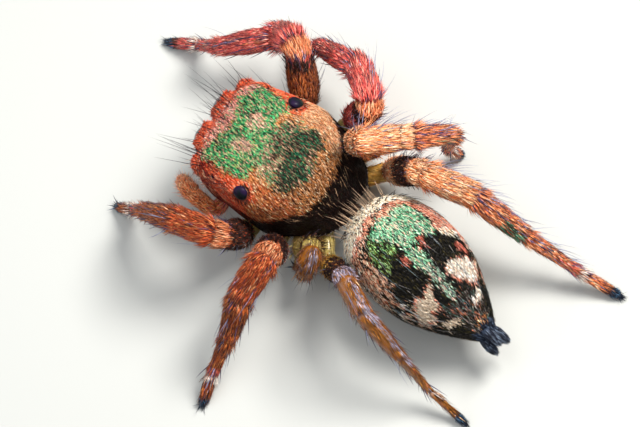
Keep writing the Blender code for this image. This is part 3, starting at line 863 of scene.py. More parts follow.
@dataclass
class HeadShield:
    """The head shield: a rounded box from the face to the waist, with brows round the eyes."""

    eyes: list
    forward: tuple = (0.77, 0.64, 0.45, 0.10, -0.35, -0.75, -1.10, -1.40, -1.70, -1.88)
    half_width: tuple = (0.64, 0.83, 0.96, 1.01, 1.075, 1.10, 0.97, 0.80, 0.60, 0.34)
    top: tuple = (1.70, 1.79, 1.85, 1.87, 1.87, 1.85, 1.74, 1.55, 1.16, 0.84)
    edge: tuple = (1.04, 0.96, 0.86, 0.76, 0.67, 0.63, 0.62, 0.62, 0.64, 0.68)
    square: tuple = (3.4, 4.2, 5.2, 5.4, 4.6, 3.8, 3.0, 2.5, 2.2, 2.0)
    dome_start: float = 0.55
    dome_depth: float = 0.23
    dome_rows: int = 30
    rows: int = 150
    roof: int = 170
    floor: int = 34
    scales: int = 74_000

    def ring(self, forward: float, shrink: float, ahead: float) -> Array:
        """One ring: left = w cos^(2/n), up = edge + h sin^(2/n) over the roof, and straight below.

        Args:
            forward: where the ring's size is read.
            shrink: draws it in towards its middle.
            ahead: where it is put.

        Returns:
            The ring's points, evenly spaced over the roof.
        """
        width, top, edge, square = (
            float(curve(np.array(forward), self.forward, values))
            for values in (self.half_width, self.top, self.edge, self.square))
        turn = np.linspace(0, np.pi, 400)
        left = width * np.sign(np.cos(turn)) * np.abs(np.cos(turn)) ** (2 / square)
        up = edge + (top - edge) * np.sin(turn) ** (2 / square)
        reach = np.concatenate(([0.0], np.cumsum(np.hypot(np.diff(left), np.diff(up)))))
        at = np.linspace(0, reach[-1], self.roof)
        under = np.linspace(-width, width, self.floor + 2)[1:-1]
        sag = edge + 0.10 * (1 - (under / width) ** 2)
        left = np.concatenate((np.interp(at, reach, left), under))
        up = np.concatenate((np.interp(at, reach, up), sag))
        middle = (top + edge) / 2
        return np.stack((np.full_like(left, ahead), left * shrink, middle + (up - middle) * shrink), axis=1)

    def surface(self) -> Skin:
        """Rings from the face, which closes as a dome, to the rear, with the brows raised."""
        made = []
        for lean in np.linspace(0.96 * np.pi / 2, 0, self.dome_rows, endpoint=False):
            ahead = self.dome_start + self.dome_depth * np.sin(lean)
            made.append(self.ring(min(ahead, 0.70), np.cos(lean) ** 0.55, ahead))
        for forward in np.linspace(self.dome_start, self.forward[-1], self.rows):
            made.append(self.ring(forward, 1.0, forward))
        points = np.array(made)
        points = points - Skin(points).normals() * COAT_DEPTH
        swells = np.stack([eye.swell(points) for eye in self.eyes])
        strongest = np.linalg.norm(swells, axis=-1).argmax(axis=0)[None, ..., None]
        points = points + np.take_along_axis(swells, strongest, axis=0)[0]
        dent = spot(points[..., 0], points[..., 1], (-0.95, 0.0), (0.22, 0.05), 1.6)
        points[..., 2] -= 0.03 * dent * rise(points[..., 2], 1.2, 1.4)
        return Skin(points)

    def zones(self, roots: Roots) -> list:
        """The shield's markings, each a mask over the places and its mix of colours."""
        point = roots.point
        wave = (grain(point, 0.16, 1) - 0.5) * 0.16 + (grain(point, 0.05, 2) - 0.5) * 0.08
        sway = (grain(point, 0.16, 3) - 0.5) * 0.16 + (grain(point, 0.05, 4) - 0.5) * 0.08
        f = point[:, 0] + wave
        side = point[:, 1] + sway
        up = point[:, 2] + 0.5 * wave
        wide = np.abs(side)
        low = curve(np.clip(f, -1.88, 0.79), (0.8, 0.3, 0.0, -0.5, -1.2, -1.5, -1.9),
                    (1.05, 1.02, 1.08, 1.18, 1.30, 1.38, 1.40))
        bare = np.clip((low + 0.04 - up) / 0.08, 0, 1)
        line = rise(np.abs(up - low - 0.03), 0.07, 0.02)
        crown = rise(up, 1.60, 1.70)
        front = 0.34 + 0.24 * wide - 0.22 * rise(-side, 0.50, 0.80)
        green = crown * rise(f, -0.55, -0.45) * rise(f, front + 0.07, front - 0.05)
        green = green * rise(np.abs(side + 0.10), 0.80, 0.70)
        green = green * (1 - spot(f, side, (-0.50, -0.52), (0.20, 0.24), 0.5))
        green = green * (1 - spot(f, side, (-0.50, 0.54), (0.14, 0.18), 0.6))
        zones = [
            (1.0, OCHRE),
            (rise(f, -0.75, -1.15), TAN),
            # Painted light and shade: the right side, toward the key light, lighter in peach, and the left
            # side darker in rust.
            (rise(-side, 0.35, 0.70) * rise(f, -0.40, -0.60) * 0.65, PEACH),
            (rise(side, 0.40, 0.75) * 0.5, RUST),
            (crown * rise(f, front - 0.07, front + 0.06), PINK_FRONT),
            (green, GREEN),
            (crown * spot(f, side, (-0.78, -0.04), (0.46, 0.56), 0.3) * 0.92, SOFT),
            (crown * spot(f, side, (-0.93, -0.34), (0.34, 0.27), 0.6, 0.5) * 0.95, BLOTCH),
            (crown * spot(f, side, (-0.99, 0.22), (0.24, 0.32), 0.6) * 0.92, BLOTCH),
            (crown * spot(f, side, (-0.58, -0.20), (0.10, 0.40), 0.7) * 0.5, BLOTCH),
            (crown * spot(f, side, (0.0, -0.29), (0.17, 0.11), 1.2) * 0.92, SALMON),
            (crown * spot(f, side, (-0.02, 0.20), (0.16, 0.10), 1.2) * 0.88, SALMON),
            (rise(np.abs(side + 0.07), 0.74, 0.82) * rise(f, -0.55, -0.35) * rise(up, 1.15, 1.3), RIM),
            (rise(side, 0.60, 0.72) * rise(f, 0.1, 0.35) * 0.75, DEEP_RED),
            (rise(f, 0.69, 0.77), RIM),
            (line * rise(f, -0.9, -0.4) * 0.8, DEEP_RED),
            (bare * rise(f, -0.5, 0.0), DEEP_RED),
            (bare * rise(f, 0.0, -0.5), BARE),
            (bare * rise(low - up, 0.20, 0.32) * rise(f, -0.4, 0.1), MAROON),
        ]
        for eye in self.eyes:
            away, height = eye.around(point)
            near = rise(away, eye.radius * 1.75, eye.radius * 1.35) * rise(height, -0.4, 0.0)
            if eye.front:
                reach = 0.13 if eye.radius > 0.2 else 0.34
                zones.append((near * rise(height, -reach, 0.12 - reach), RIM))
                zones.append((0.8 * near * rise(point[:, 2], eye.centre[2] + 0.05, eye.centre[2] - 0.15)
                              * rise(away, eye.radius * 1.5, eye.radius * 1.2), DEEP_RED))
            elif eye.radius > 0.1:
                zones.append((0.8 * near, RIM))
                zones.append((rise(away, eye.radius * 1.25, eye.radius * 1.0), BARE))
        return zones

    def clear(self, roots: Roots, margin: float) -> Array:
        """Which places are outside every lens by a margin."""
        free = np.ones(len(roots), bool)
        for eye in self.eyes:
            free &= np.linalg.norm(roots.point - np.array(eye.centre), axis=1) > eye.radius + margin
        return free

    def lie(self, roots: Roots) -> Array:
        """The way the coat lies: back over the top, down the face, and forward round the eyes."""
        back = np.array((-1.0, 0.22, 0.0)) + np.zeros((len(roots), 3))
        back[:, 2] -= 0.35 * rise(np.abs(roots.point[:, 1]), 0.7, 1.0)
        back[:, 1] += 0.25 * roots.point[:, 1] * rise(roots.point[:, 0], 0.0, -0.9)
        face = rise(roots.normal[:, 0], 0.55, 0.85)[:, None]
        aim = back * (1 - face) + np.array((0.2, 0.0, -1.0)) * face
        for eye in self.eyes:
            if eye.radius > 0.1:
                away, height = eye.around(roots.point)
                near = rise(away, eye.radius * 1.6, eye.radius * 1.2) * rise(height, -0.6 * eye.radius, 0.0)
                near = near[:, None] * (0.9 if eye.front else 0.5)
                aim = aim * (1 - near) + eye.lashes(roots) * near
        return aim

    def build(self, finishes: Finishes, rng: np.random.Generator) -> None:
        """Skin, lenses, scales, short hair and bristles of the head shield."""
        skin = self.surface()
        settle(skin.painted("shield_skin", self.zones, SKIN_SHADE), finishes.skin, Slot.SHIELD,
               "carapace")
        for eye in self.eyes:
            eye.build(finishes.lens if eye.front else finishes.dull_lens)
        self.dress(skin, finishes, rng)

    def dress(self, skin: Skin, finishes: Finishes, rng: np.random.Generator) -> None:
        """Scales, hair lying back, a fringe under the eyes and long bristles over them."""
        coat = Coat(skin)
        roots = skin.roots(rng, self.scales)
        roots = roots.only(self.clear(roots, 0.006) & (roots.normal[:, 2] > -0.35))
        bare = roots.point[:, 2] < 1.30 - 0.35 * rise(roots.point[:, 0], -1.2, 0.0)
        roots = roots.only(rng.random(len(roots)) < np.where(bare, 0.30, 1.0))
        length = spread(rng, len(roots), 0.088, 0.35) * (1 - 0.30 * rise(roots.point[:, 0], 0.45, 0.70))
        coat.scales(rng, roots, jitter(rng, self.lie(roots), 0.13), length, (0.0125, 0.35), (0.12, 0.9),
                    self.zones(roots))
        for eye in self.eyes[:4]:
            roots = skin.roots(rng, 40_000)
            away, height = eye.around(roots.point)
            roots = roots.only((away < eye.radius * 1.32) & (away > eye.radius * 0.98)
                               & (height > -0.35 * eye.radius) & (height < 0.8 * eye.radius))
            roots = roots.thin(rng, 3400 * eye.radius)
            coat.scales(rng, roots, jitter(rng, eye.lashes(roots), 0.10), spread(rng, len(roots), 0.070),
                        (0.018, 0.3), (0.06, 0.8), self.zones(roots))
        coat.build("shield_scales", finishes.scales, Slot.SHIELD)
        self.bristles(skin, finishes, rng)

    def bristles(self, skin: Skin, finishes: Finishes, rng: np.random.Generator) -> None:
        """Hairs of the shield, from short dark ones lying back to long ones over the eyes."""
        coat = Coat(skin)
        roots = skin.roots(rng, 4200)
        roots = roots.only(self.clear(roots, 0.01) & (roots.point[:, 2] > 1.2) & (roots.point[:, 0] < 0.62))
        count = len(roots)
        aim = roots.laid(jitter(rng, self.lie(roots), 0.14)) + 0.16 * roots.normal
        colour = either(rng, count, 0.55, (0.03, 0.014, 0.010, 0.1), (0.84, 0.52, 0.30, 0.0))
        coat.hairs(roots, aim, spread(rng, count, 0.20, 0.5), 0.0040, -0.12 * roots.normal,
                   tinge(rng, colour))
        for number, rear, length, radius in ((46, -0.2, 0.66, 0.0066), (150, -0.5, 0.30, 0.0048)):
            roots = skin.roots(rng, 6000)
            ahead, aside, up = roots.point.T
            front = (ahead > rear) & (up > 1.66) & (np.abs(aside) < 0.92)
            roots = roots.only(front & self.clear(roots, 0.02)).thin(rng, number)
            count = len(roots)
            outward = roots.point * (0.0, 0.35, 0.0) + (0.55, 0.0, 1.0)
            coat.hairs(roots, jitter(rng, outward, 0.16), spread(rng, count, length, 0.25), radius,
                       np.array((0.30, 0.0, -0.16)) + 0.05 * rng.normal(size=(count, 3)),
                       plain(count, *DARK), rings=6)
        roots = skin.roots(rng, 16_000)
        below = (roots.normal[:, 0] > 0.35) & (roots.point[:, 2] < 1.34) & self.clear(roots, 0.01)
        roots = roots.only(below).thin(rng, 900)
        count = len(roots)
        aim = jitter(rng, plain(count, 0.75, 0.0, -0.75), 0.18)
        colour = either(rng, count, 0.8, (0.86, 0.76, 0.68, 0.0), (0.75, 0.32, 0.20, 0.0))
        coat.hairs(roots, aim, spread(rng, count, 0.26, 0.4), 0.0058,
                   np.array((0.0, 0.0, -0.35)) + 0.06 * rng.normal(size=(count, 3)),
                   tinge(rng, colour, 0.1), rings=3)
        coat.build("shield_hair", finishes.hair, Slot.SHIELD)


# Each mark: its corners (millimetres along the abdomen, degrees round it with 90 on top), how wide its
# soft edge is in millimetres, its share, and its mix.
ABDOMEN_MARKS = (
    (((0.63, 69), (0.85, 76), (1.05, 85), (1.26, 84), (1.31, 74), (1.36, 67), (1.41, 59), (1.14, 54),
      (0.77, 59)), 0.06, 1.0, OLIVE),
    (((0.4, 162), (0.91, 174), (1.38, 178), (1.82, 172), (1.78, 161), (1.53, 149), (1.36, 135), (1.11, 140),
      (0.66, 137)), 0.08, 0.9, ROSE),
    (((0.6, 49), (0.77, 59), (1.14, 54), (1.6, 52), (1.64, 34), (1.77, 12), (1.44, -4), (1.24, 15),
      (0.72, 34)), 0.08, 1.0, STREAKS),
    (((0.65, 81), (0.56, 94), (0.54, 126), (0.61, 132), (0.78, 136), (1.26, 137), (1.39, 133), (1.34, 114),
      (1.33, 107), (1.5, 97), (1.52, 86), (1.16, 88), (0.85, 76), (0.67, 71)), 0.06, 1.0, MINT),
    (((1.38, 115), (1.44, 135), (1.49, 153), (1.57, 164), (1.98, 165), (1.92, 129), (1.9, 114), (1.71, 109),
      (1.52, 109)), 0.05, 1.0, BLACK),
    (((1.13, 86), (1.33, 85), (1.57, 79), (1.82, 78), (1.95, 83), (2.0, 69), (2.0, 56), (1.88, 40),
      (1.68, 37), (1.56, 49), (1.62, 63), (1.38, 72)), 0.06, 0.9, BLACK),
    (((1.40, -40), (1.45, 0), (1.75, 9), (2.10, 2), (2.30, 8), (2.50, 14), (2.70, 14), (2.70, -40)),
     0.10, 0.85, BLACK),
    (((1.37, 140), (1.36, 154), (1.52, 167), (1.74, 162), (1.62, 156), (1.52, 142), (1.44, 135)),
     0.05, 0.7, BAND),
    (((1.25, 95), (1.45, 104), (1.62, 107), (1.80, 104), (1.80, 87), (1.51, 86)), 0.05, 0.9, MINT),
    (((1.75, 104), (2.19, 104), (2.33, 102), (2.49, 95), (2.46, 87), (2.06, 87), (1.75, 87)),
     0.07, 0.85, GREY),
    (((2.36, 60), (2.36, 150), (2.9, 150), (2.9, 50)), 0.2, 0.7, REAR),
    (((2.02, 108), (1.92, 114), (1.91, 132), (1.99, 155), (2.1, 162), (2.26, 164), (2.40, 146), (2.36, 129),
      (2.25, 117), (2.12, 109)), 0.05, 0.8, ROSE),
    (((1.96, 82), (2.06, 84), (2.15, 74), (2.30, 69), (2.30, 47), (2.37, 42), (2.28, 12), (2.11, 17),
      (2.01, 39), (1.97, 60)), 0.05, 0.8, ROSE),
    (((2.02, 111), (1.95, 116), (1.94, 132), (2.01, 153), (2.1, 159), (2.24, 161), (2.36, 146), (2.33, 131),
      (2.23, 120), (2.14, 118), (2.09, 111)), 0.03, 1.0, CREAM),
    # The left side's cream patch in DUN: the cream painted in shade.
    (((1.98, 80), (2.04, 82), (2.13, 72), (2.27, 67), (2.27, 47), (2.34, 42), (2.25, 15), (2.13, 19),
      (2.04, 39), (2.0, 69)), 0.03, 1.0, DUN),
    (((2.45, 141), (2.51, 150), (2.61, 148), (2.65, 129), (2.63, 114), (2.57, 116), (2.51, 132)),
     0.04, 1.0, CREAM),
    # Painted shade: DUN, the cream of the left side's patch.
    (((2.45, 42), (2.54, 52), (2.6, 65), (2.65, 63), (2.63, 38), (2.57, 21), (2.5, 30)), 0.04, 1.0, DUN),
    (((1.30, 106), (1.41, 114), (1.57, 110), (1.52, 105), (1.4, 106)), 0.04, 0.9, CORAL),
    (((1.30, 83), (1.41, 87), (1.52, 86), (1.56, 78), (1.44, 80)), 0.04, 0.9, CORAL),
    (((1.72, 144), (1.79, 159), (1.93, 160), (1.82, 142)), 0.05, 0.9, CORAL),
    (((2.82, 80), (2.80, 146), (2.87, 132), (2.92, 94)), 0.04, 0.8, OCHRE),
)


@dataclass
class Abdomen:
    """The abdomen: ellipses along its own axis, with its pattern of patches."""

    start: tuple = (-2.13, 0.15, 0.0)
    yaw: float = 14.0
    station: tuple = (0.00, 0.08, 0.30, 0.80, 1.35, 1.90, 2.45, 2.80, 3.00)
    half_width: tuple = (0.16, 0.36, 0.62, 0.83, 0.88, 0.80, 0.55, 0.33, 0.19)
    half_height: tuple = (0.14, 0.32, 0.54, 0.72, 0.76, 0.68, 0.47, 0.29, 0.18)
    middle_up: tuple = (0.98, 1.02, 1.07, 1.12, 1.12, 1.06, 0.94, 0.83, 0.77)
    length: float = 3.0
    rows: int = 170
    sides: int = 170
    scales: int = 44_000
    reach: Array = field(init=False)

    def axes(self) -> tuple:
        """The axis from the waist to the tail, and the direction to its left."""
        turn = np.radians(180.0 - self.yaw)
        axis = np.array((np.cos(turn), np.sin(turn), 0.0))
        return axis, np.cross(axis, UP)

    def surface(self) -> Skin:
        """Ellipses: place = start + axis t + left w cos a + up (middle + h sin a)."""
        axis, left = self.axes()
        t = self.length * (1 - np.cos(np.linspace(0.02, np.pi - 0.02, self.rows))) / 2
        self.reach = t
        width, height, middle = (curve(t, self.station, values)[:, None, None]
                                 for values in (self.half_width, self.half_height, self.middle_up))
        turn = np.linspace(0, 2 * np.pi, self.sides, endpoint=False)[None, :, None]
        points = (np.array(self.start) + t[:, None, None] * axis + width * np.cos(turn) * left
                  + (middle + height * np.sin(turn)) * UP)
        points = points - Skin(points).normals() * COAT_DEPTH
        return Skin(points)

    def where(self, roots: Roots) -> tuple:
        """How far along the abdomen each place is, in millimetres, and its angle, 90 on top."""
        along = np.interp(roots.row, np.arange(self.rows), self.reach)
        angle = (roots.column / self.sides * 360 + 90) % 360 - 90
        return along, angle

    def zones(self, roots: Roots) -> list:
        """The abdomen's markings over t along it and a round it."""
        t, a = self.where(roots)
        point = roots.point
        axis, _ = self.axes()
        squeezed = point - 0.75 * (point @ axis)[:, None] * axis
        tall = (grain(squeezed, 0.10, 5) - 0.5) + 0.6 * (grain(squeezed, 0.045, 6) - 0.5)
        t = t + 0.10 * tall + 0.04 * (grain(point, 0.06, 7) - 0.5)
        a = a + 5 * (grain(squeezed, 0.14, 8) - 0.5) + 4 * (grain(squeezed, 0.05, 9) - 0.5)
        off = np.abs(a - 97)
        streak = rise(grain(squeezed, 0.060, 10), 0.42, 0.58)
        thin = rise(grain(squeezed, 0.035, 12), 0.44, 0.58)
        band = 0.42 + 0.13 * rise(off, 15, 55) + 0.16 * rise(off, 55, 75)
        zones = [
            (1.0, BLACK),
            (rise(off, 44, 56) * streak * rise(t, 2.5, 2.2) * 0.9, STREAKS),
            (rise(off, 50, 62) * thin * rise(t, 2.2, 1.9) * 0.5, CREAM),
            (rise(off, 84, 100) * streak * rise(t, 2.5, 2.2) * 0.8, DUN),
            (rise(off, 100, 118), BELLY),
            (rise(off, 150, 162) * rise(t, 2.4, 2.0), BLACK),
        ]
        for corners, edge, share, mix in ABDOMEN_MARKS:
            if mix is OLIVE or mix is STREAKS:
                share = share * (0.3 + 0.7 * (thin if mix is OLIVE else streak))
            zones.append((share * inside(t, a, corners, edge, 0.0145), mix))
        zones += [
            (rise(t, band + 0.22, band + 0.10) * rise(off, 112, 100) * 0.8, STREAKS),
            (rise(t, band + 0.20, band) * (0.35 + 0.65 * streak) * rise(off, 112, 100), ROSE),
            (rise(t, band + 0.04, band - 0.04) * rise(off, 112, 100), BAND),
            (rise(t, 0.14, 0.08), BLACK),
            (rise(t, 2.82, 2.92), INK),
        ]
        return zones

    def build(self, finishes: Finishes, rng: np.random.Generator) -> None:
        """Skin, scales and hair of the abdomen."""
        skin = self.surface()
        settle(skin.painted("abdomen_skin", self.zones, SKIN_SHADE), finishes.skin, Slot.ABDOMEN,
               "abdomen")
        axis, _ = self.axes()
        coat = Coat(skin)
        roots = skin.roots(rng, self.scales)
        aim = jitter(rng, plain(self.scales, *axis), 0.17)
        coat.scales(rng, roots, aim, spread(rng, self.scales, 0.110, 0.35), (0.019, 0.35), (0.13, 0.9),
                    self.zones(roots))
        coat.build("abdomen_scales", finishes.scales, Slot.ABDOMEN)
        self.hair(skin, finishes, rng)

    def hair(self, skin: Skin, finishes: Finishes, rng: np.random.Generator) -> None:
        """Short dark and long pale hairs lying back, stiff pale ones over the waist, and black hooks."""
        axis, _ = self.axes()
        coat = Coat(skin)
        for number, length, radius, lift, dark, pale in (
                (2600, 0.16, 0.0040, 0.20, 0.85, (0.42, 0.38, 0.36, 0.0)),
                (420, 0.40, 0.0042, 0.16, 0.55, (0.40, 0.38, 0.37, 0.0)),
                (60, 0.80, 0.0040, 0.10, 0.0, (0.24, 0.34, 0.38, 0.0))):
            roots = skin.roots(rng, number)
            roots = roots.only(self.where(roots)[0] < self.length + 0.05 - length)
            count = len(roots)
            aim = roots.laid(jitter(rng, plain(count, *axis), 0.14)) + lift * roots.normal
            shade = either(rng, count, dark, (0.02, 0.015, 0.015, 0.1), pale)
            coat.hairs(roots, aim, spread(rng, count, length, 0.4), radius, -0.16 * roots.normal,
                       tinge(rng, shade), rings=3)
        roots = skin.roots(rng, 9000)
        t, a = self.where(roots)
        roots = roots.only((t > 0.10) & (t < 0.30) & (a > 25) & (a < 160)).thin(rng, 30)
        count = len(roots)
        aim = jitter(rng, 0.85 * roots.normal + np.array((0.55, 0.0, 0.25)), 0.10)
        coat.hairs(roots, aim, spread(rng, count, 0.34, 0.35), 0.0058, 0.10 * rng.normal(size=(count, 3)),
                   tinge(rng, plain(count, 0.50, 0.34, 0.22, 0.0)), rings=4)
        roots = skin.roots(rng, 9000)
        t, a = self.where(roots)
        roots = roots.only((t > 0.16) & (t < 0.52) & (a > 35) & (a < 158)).thin(rng, 66)
        count = len(roots)
        aim = jitter(rng, 0.8 * roots.laid(axis) + 0.95 * roots.normal, 0.14)
        coat.hairs(roots, aim, spread(rng, count, 0.23, 0.25), 0.0105, -0.42 * roots.normal,
                   plain(count, 0.012, 0.008, 0.008, 0.1), rings=3)
        coat.build("abdomen_hair", finishes.hair, Slot.ABDOMEN)


@dataclass
class Path:
    """A line of points, and the distance along it at each."""

    points: Array
    middles: list = field(default_factory=list)
    reach: Array = field(init=False)

    def __post_init__(self) -> None:
        """Measure the line."""
        steps = np.linalg.norm(np.diff(self.points, axis=0), axis=1)
        self.reach = np.concatenate(([0.0], np.cumsum(steps)))

    @classmethod
    def rounded(cls, joints: Array, bend: float, steps: int = 25) -> Path:
        """Straight runs joined by arcs.

        Args:
            joints: the corners.
            bend: the arcs' radius, cut down where a run is short.
            steps: points on each arc.

        Returns:
            The path, with the index of each arc's middle.
        """
        joints = np.asarray(joints, float)
        points = [joints[:1]]
        middles = []
        total = 1
        for before, corner, after in zip(joints[:-2], joints[1:-1], joints[2:]):
            inward = unit(before - corner)
            onward = unit(after - corner)
            half = math.acos(max(-1.0, min(1.0, float(-inward @ onward)))) / 2
            most = 0.48 * min(np.linalg.norm(before - corner), np.linalg.norm(after - corner))
            radius = min(bend * math.tan(half), most) / math.tan(half)
            across = unit(inward + onward)
            centre = corner + across * radius / math.cos(half)
            turn = np.linspace(-half, half, steps)[:, None]
            ahead = unit(onward - inward)
            points.append(centre - across * radius * np.cos(turn) + ahead * radius * np.sin(turn))
            middles.append(total + steps // 2)
            total += steps
        points.append(joints[-1:])
        return cls(np.concatenate(points), middles)

    def at(self, reach: Array) -> Array:
        """Points at distances along the path."""
        return np.stack([np.interp(reach, self.reach, self.points[:, axis]) for axis in range(3)], axis=1)

    def tube(self, at: Array, radius: Array, sides: int) -> Skin:
        """A round skin: ring = middle + r (side cos a + up sin a), carried along without twist.

        Args:
            at: where the rings are, as distances along the path.
            radius: the rings' radii, one each, or one for each point.
            sides: points in a ring.

        Returns:
            The skin, with its points kept over the floor.
        """
        middle = self.at(at)
        along = unit(self.at(at + 0.02) - self.at(at - 0.02))
        side = np.cross(along[0], UP)
        if np.linalg.norm(side) < 0.2:
            side = np.cross(along[0], (1.0, 0.0, 0.0))
        sideways = []
        for heading in along:
            side = unit(side - heading * (side @ heading))
            sideways.append(side)
        sideways = np.array(sideways)
        up = np.cross(sideways, along)
        turn = np.linspace(0, 2 * np.pi, sides, endpoint=False)[None, :, None]
        radius = radius.reshape(len(at), -1, 1)
        points = middle[:, None] + radius * (np.cos(turn) * sideways[:, None] + np.sin(turn) * up[:, None])
        points[..., 2] = np.maximum(points[..., 2], SKIN_FLOOR)
        return Skin(points)


class Look(Enum):
    """The colours of a leg's scales, with painted light: BRIGHT, on the right, is painted lit, and RUSTY
    and BROWN, on the left, painted in shade.
    """

    BRIGHT = 1
    RUSTY = 2
    ROSY = 3
    BROWN = 4


# Each look's mixes: before the tibia, from the tibia on, the top of the patella, the coxa and the lines.
# BRIGHT's lighter mixes are painted light on the right legs; RUSTY's and BROWN's darker ones, painted shade
# on the left.
LEG_MIX = {
    Look.BRIGHT: (ORANGE, EMBER, PEACH, AMBER, PEACH),
    Look.RUSTY: (RUST, BURNT, RUST, YELLOW, CAP),
    Look.ROSY: (ROSY, ROSY, ROSY, YELLOW, CAP),
    Look.BROWN: (BROWN, BROWN, BROWN, YELLOW, CAP),
}


# Each spine: its segment, its share along that, and its angle round it in degrees, 90 on top.
SPINES = (
    (1, 0.72, 70), (1, 0.80, 110), (1, 0.86, 90), (3, 0.30, 215), (3, 0.30, 325), (3, 0.72, 215),
    (3, 0.72, 325), (3, 0.55, 160), (4, 0.25, 215), (4, 0.25, 325), (4, 0.80, 215), (4, 0.80, 325),
    (4, 0.82, 35), (4, 0.82, 145),
)


@dataclass
class Leg:
    """One leg: its joints as in the solids, its radii and its dress.

    Each segment is a length, a yaw from straight ahead towards the left, and a rise in degrees.
    bands: where the femur's dark band starts and ends. thigh, cap: the femur's mixes before its end
    and at it. flakes, plumes: how many scales and long outer hairs. patch: the share of a greenish
    patch on the tibia. glossy: bare and shiny, but for one strip of lilac scales along the top, which
    is partly the leg's painted highlight.
    """

    name: str
    look: Look
    coxa: tuple
    hip: tuple
    femur: tuple
    patella: tuple
    tibia: tuple
    metatarsus: tuple
    tarsus: tuple
    thickness: float = 1.0
    bands: tuple = (0.62, 0.96)
    thigh: Mix = AMBER
    flakes: int = 13_000
    plumes: int = 20
    cap: Mix = PEACH
    patch: float = 0.0
    glossy: bool = False
    rows: int = 250
    sides: int = 30
    coxa_radii: tuple = (0.15, 0.18, 0.17)
    femur_radii: tuple = (0.15, 0.24, 0.255, 0.235, 0.220)
    shin_radii: tuple = (0.215, 0.242, 0.238, 0.208, 0.208, 0.188, 0.152)
    foot_radii: tuple = (0.142, 0.132, 0.114, 0.104, 0.104, 0.098, 0.078)
    coxa_height: float = 0.40
    ends: Array = field(init=False)
    at: Array = field(init=False)

    def joints(self) -> list:
        """The corners from the body to the claws."""
        points = [np.array((*self.coxa, self.coxa_height)), np.array(self.hip, float)]
        for length, yaw, lift in (self.femur, self.patella, self.tibia, self.metatarsus):
            points.append(points[-1] + length * self.aim(yaw, lift))
        length, yaw = self.tarsus
        drop = points[-1][2] - self.foot_radii[-1] * 0.7
        lift = -math.degrees(math.asin(min(0.98, drop / length)))
        points.append(points[-1] + length * self.aim(yaw, lift))
        return points

    @staticmethod
    def aim(yaw: float, lift: float) -> Array:
        """The direction of a yaw and a rise in degrees."""
        turn, rising = np.radians((yaw, lift))
        return np.array((np.cos(rising) * np.cos(turn), np.cos(rising) * np.sin(turn), np.sin(rising)))

    def surface(self) -> Skin:
        """One skin from the body to the claws, narrowed at each joint and swollen beside it."""
        path = Path.rounded(self.joints(), 0.30)
        end = path.reach[-1]
        self.ends = np.array([0.0, *path.reach[path.middles], end])
        _, hip, knee, _, ankle, _, _ = self.ends
        tip = self.foot_radii[-1] * self.thickness
        at = np.concatenate((np.linspace(0.005, end - tip, self.rows),
                             end - tip * (1 - np.sin(np.linspace(0, 1.5, 14)[1:]))))
        radius = np.zeros(len(at))
        for low, high, radii in ((0.0, hip, self.coxa_radii), (hip, knee, self.femur_radii),
                                 (knee, ankle, self.shin_radii), (ankle, end, self.foot_radii)):
            share = np.clip((at - low) / (high - low), 0, 1)
            within = (at >= low) & (at <= high)
            radius = np.where(within, curve(share, np.linspace(0, 1, len(radii)), radii), radius)
        radius = radius * self.thickness - COAT_DEPTH
        for joint, depth in zip(self.ends[1:-1], (0.030, 0.034, 0.030, 0.024, 0.016)):
            gap = at - joint
            radius -= depth * np.exp(-((gap / 0.035) ** 2))
            radius += 0.4 * depth * np.exp(-(((np.abs(gap) - 0.10) / 0.05) ** 2))
        left = np.clip((end - at) / tip, 0, 1)
        radius = radius * np.sqrt(np.clip(1 - (1 - left) ** 2, 0.01, 1.0))
        self.at = at
        return path.tube(at, radius, self.sides)

    def where(self, roots: Roots) -> tuple:
        """Which segment each place is on, from 0 for the coxa, its share along it, and its reach."""
        reach = np.interp(roots.row, np.arange(len(self.at)), self.at)
        segment = np.clip(np.searchsorted(self.ends, reach) - 1, 0, 5)
        share = (reach - self.ends[segment]) / (self.ends[segment + 1] - self.ends[segment])
        return segment, share, reach

    def zones(self, roots: Roots) -> list:
        """The leg's colours, segment by segment."""
        segment, share, reach = self.where(roots)
        share = share + 0.10 * (grain(roots.point, 0.07, 11) - 0.5)
        near, far, knee, root, line = LEG_MIX[self.look]
        femur = segment == 1
        start, stop = self.bands
        above = rise(roots.normal[:, 2], -0.1, 0.6)
        inner = rise(-roots.normal[:, 1] * np.sign(self.coxa[1]), -0.1, 0.4)
        lane = np.stack((roots.column / self.sides * 28, 1.1 * reach, 0 * reach), axis=-1)
        zones = [
            (1.0, near),
            ((segment > 2) * 1.0, far),
            (rise(grain(lane, 1.0, 13), 0.62, 0.80) * above * 0.3, line),
            (rise(grain(lane, 1.0, 15), 0.70, 0.80) * (0.0 if self.glossy else 0.8), VIOLET),
            ((segment == 0) * 1.0, root),
            (femur * rise(share, 0.78, 0.62), self.thigh),
            (femur * rise(share, start - 0.06, start + 0.06) * rise(share, stop + 0.04, stop - 0.04) * 0.92,
             DUSK),
            (femur * rise(share, 0.80, 0.87), self.cap),
            ((segment == 2) * above * 0.7, knee),
            ((segment == 3) * rise(share, 0.42, 0.60) * rise(share, 0.96, 0.84) * inner * self.patch,
             GREENISH),
            ((segment == 4) * rise(share, 0.55, 0.9) * (0.0 if self.glossy else 0.5), ROSY),
            ((segment == 5) * rise(share, 0.16, 0.08) * (0.2 if self.glossy else 1.0), PALE),
            ((segment == 5) * rise(share, 0.40, 0.66) * 0.5, DUSK),
            ((segment == 5) * rise(share, 0.62, 0.76), INK),
        ]
        for joint in self.ends[1:-1]:
            zones.append((0.75 * rise(np.abs(reach - joint), 0.034, 0.012), SEAM))
        if self.glossy:
            # Partly painted highlight: lilac scales along the glossy leg where it faces the key light.
            strip = rise(self.sheen(roots), 0.88, 0.96)
            zones.append(((segment > 1) * (segment < 5) * strip * 0.85, LILAC))
        return zones

    @staticmethod
    def sheen(roots: Roots) -> Array:
        """How much a place faces up and back, to the key light: a glossy leg's one strip of lilac scales,
        partly painted highlight.
        """
        return roots.normal @ unit(np.array((-0.5, -0.3, 0.8)))

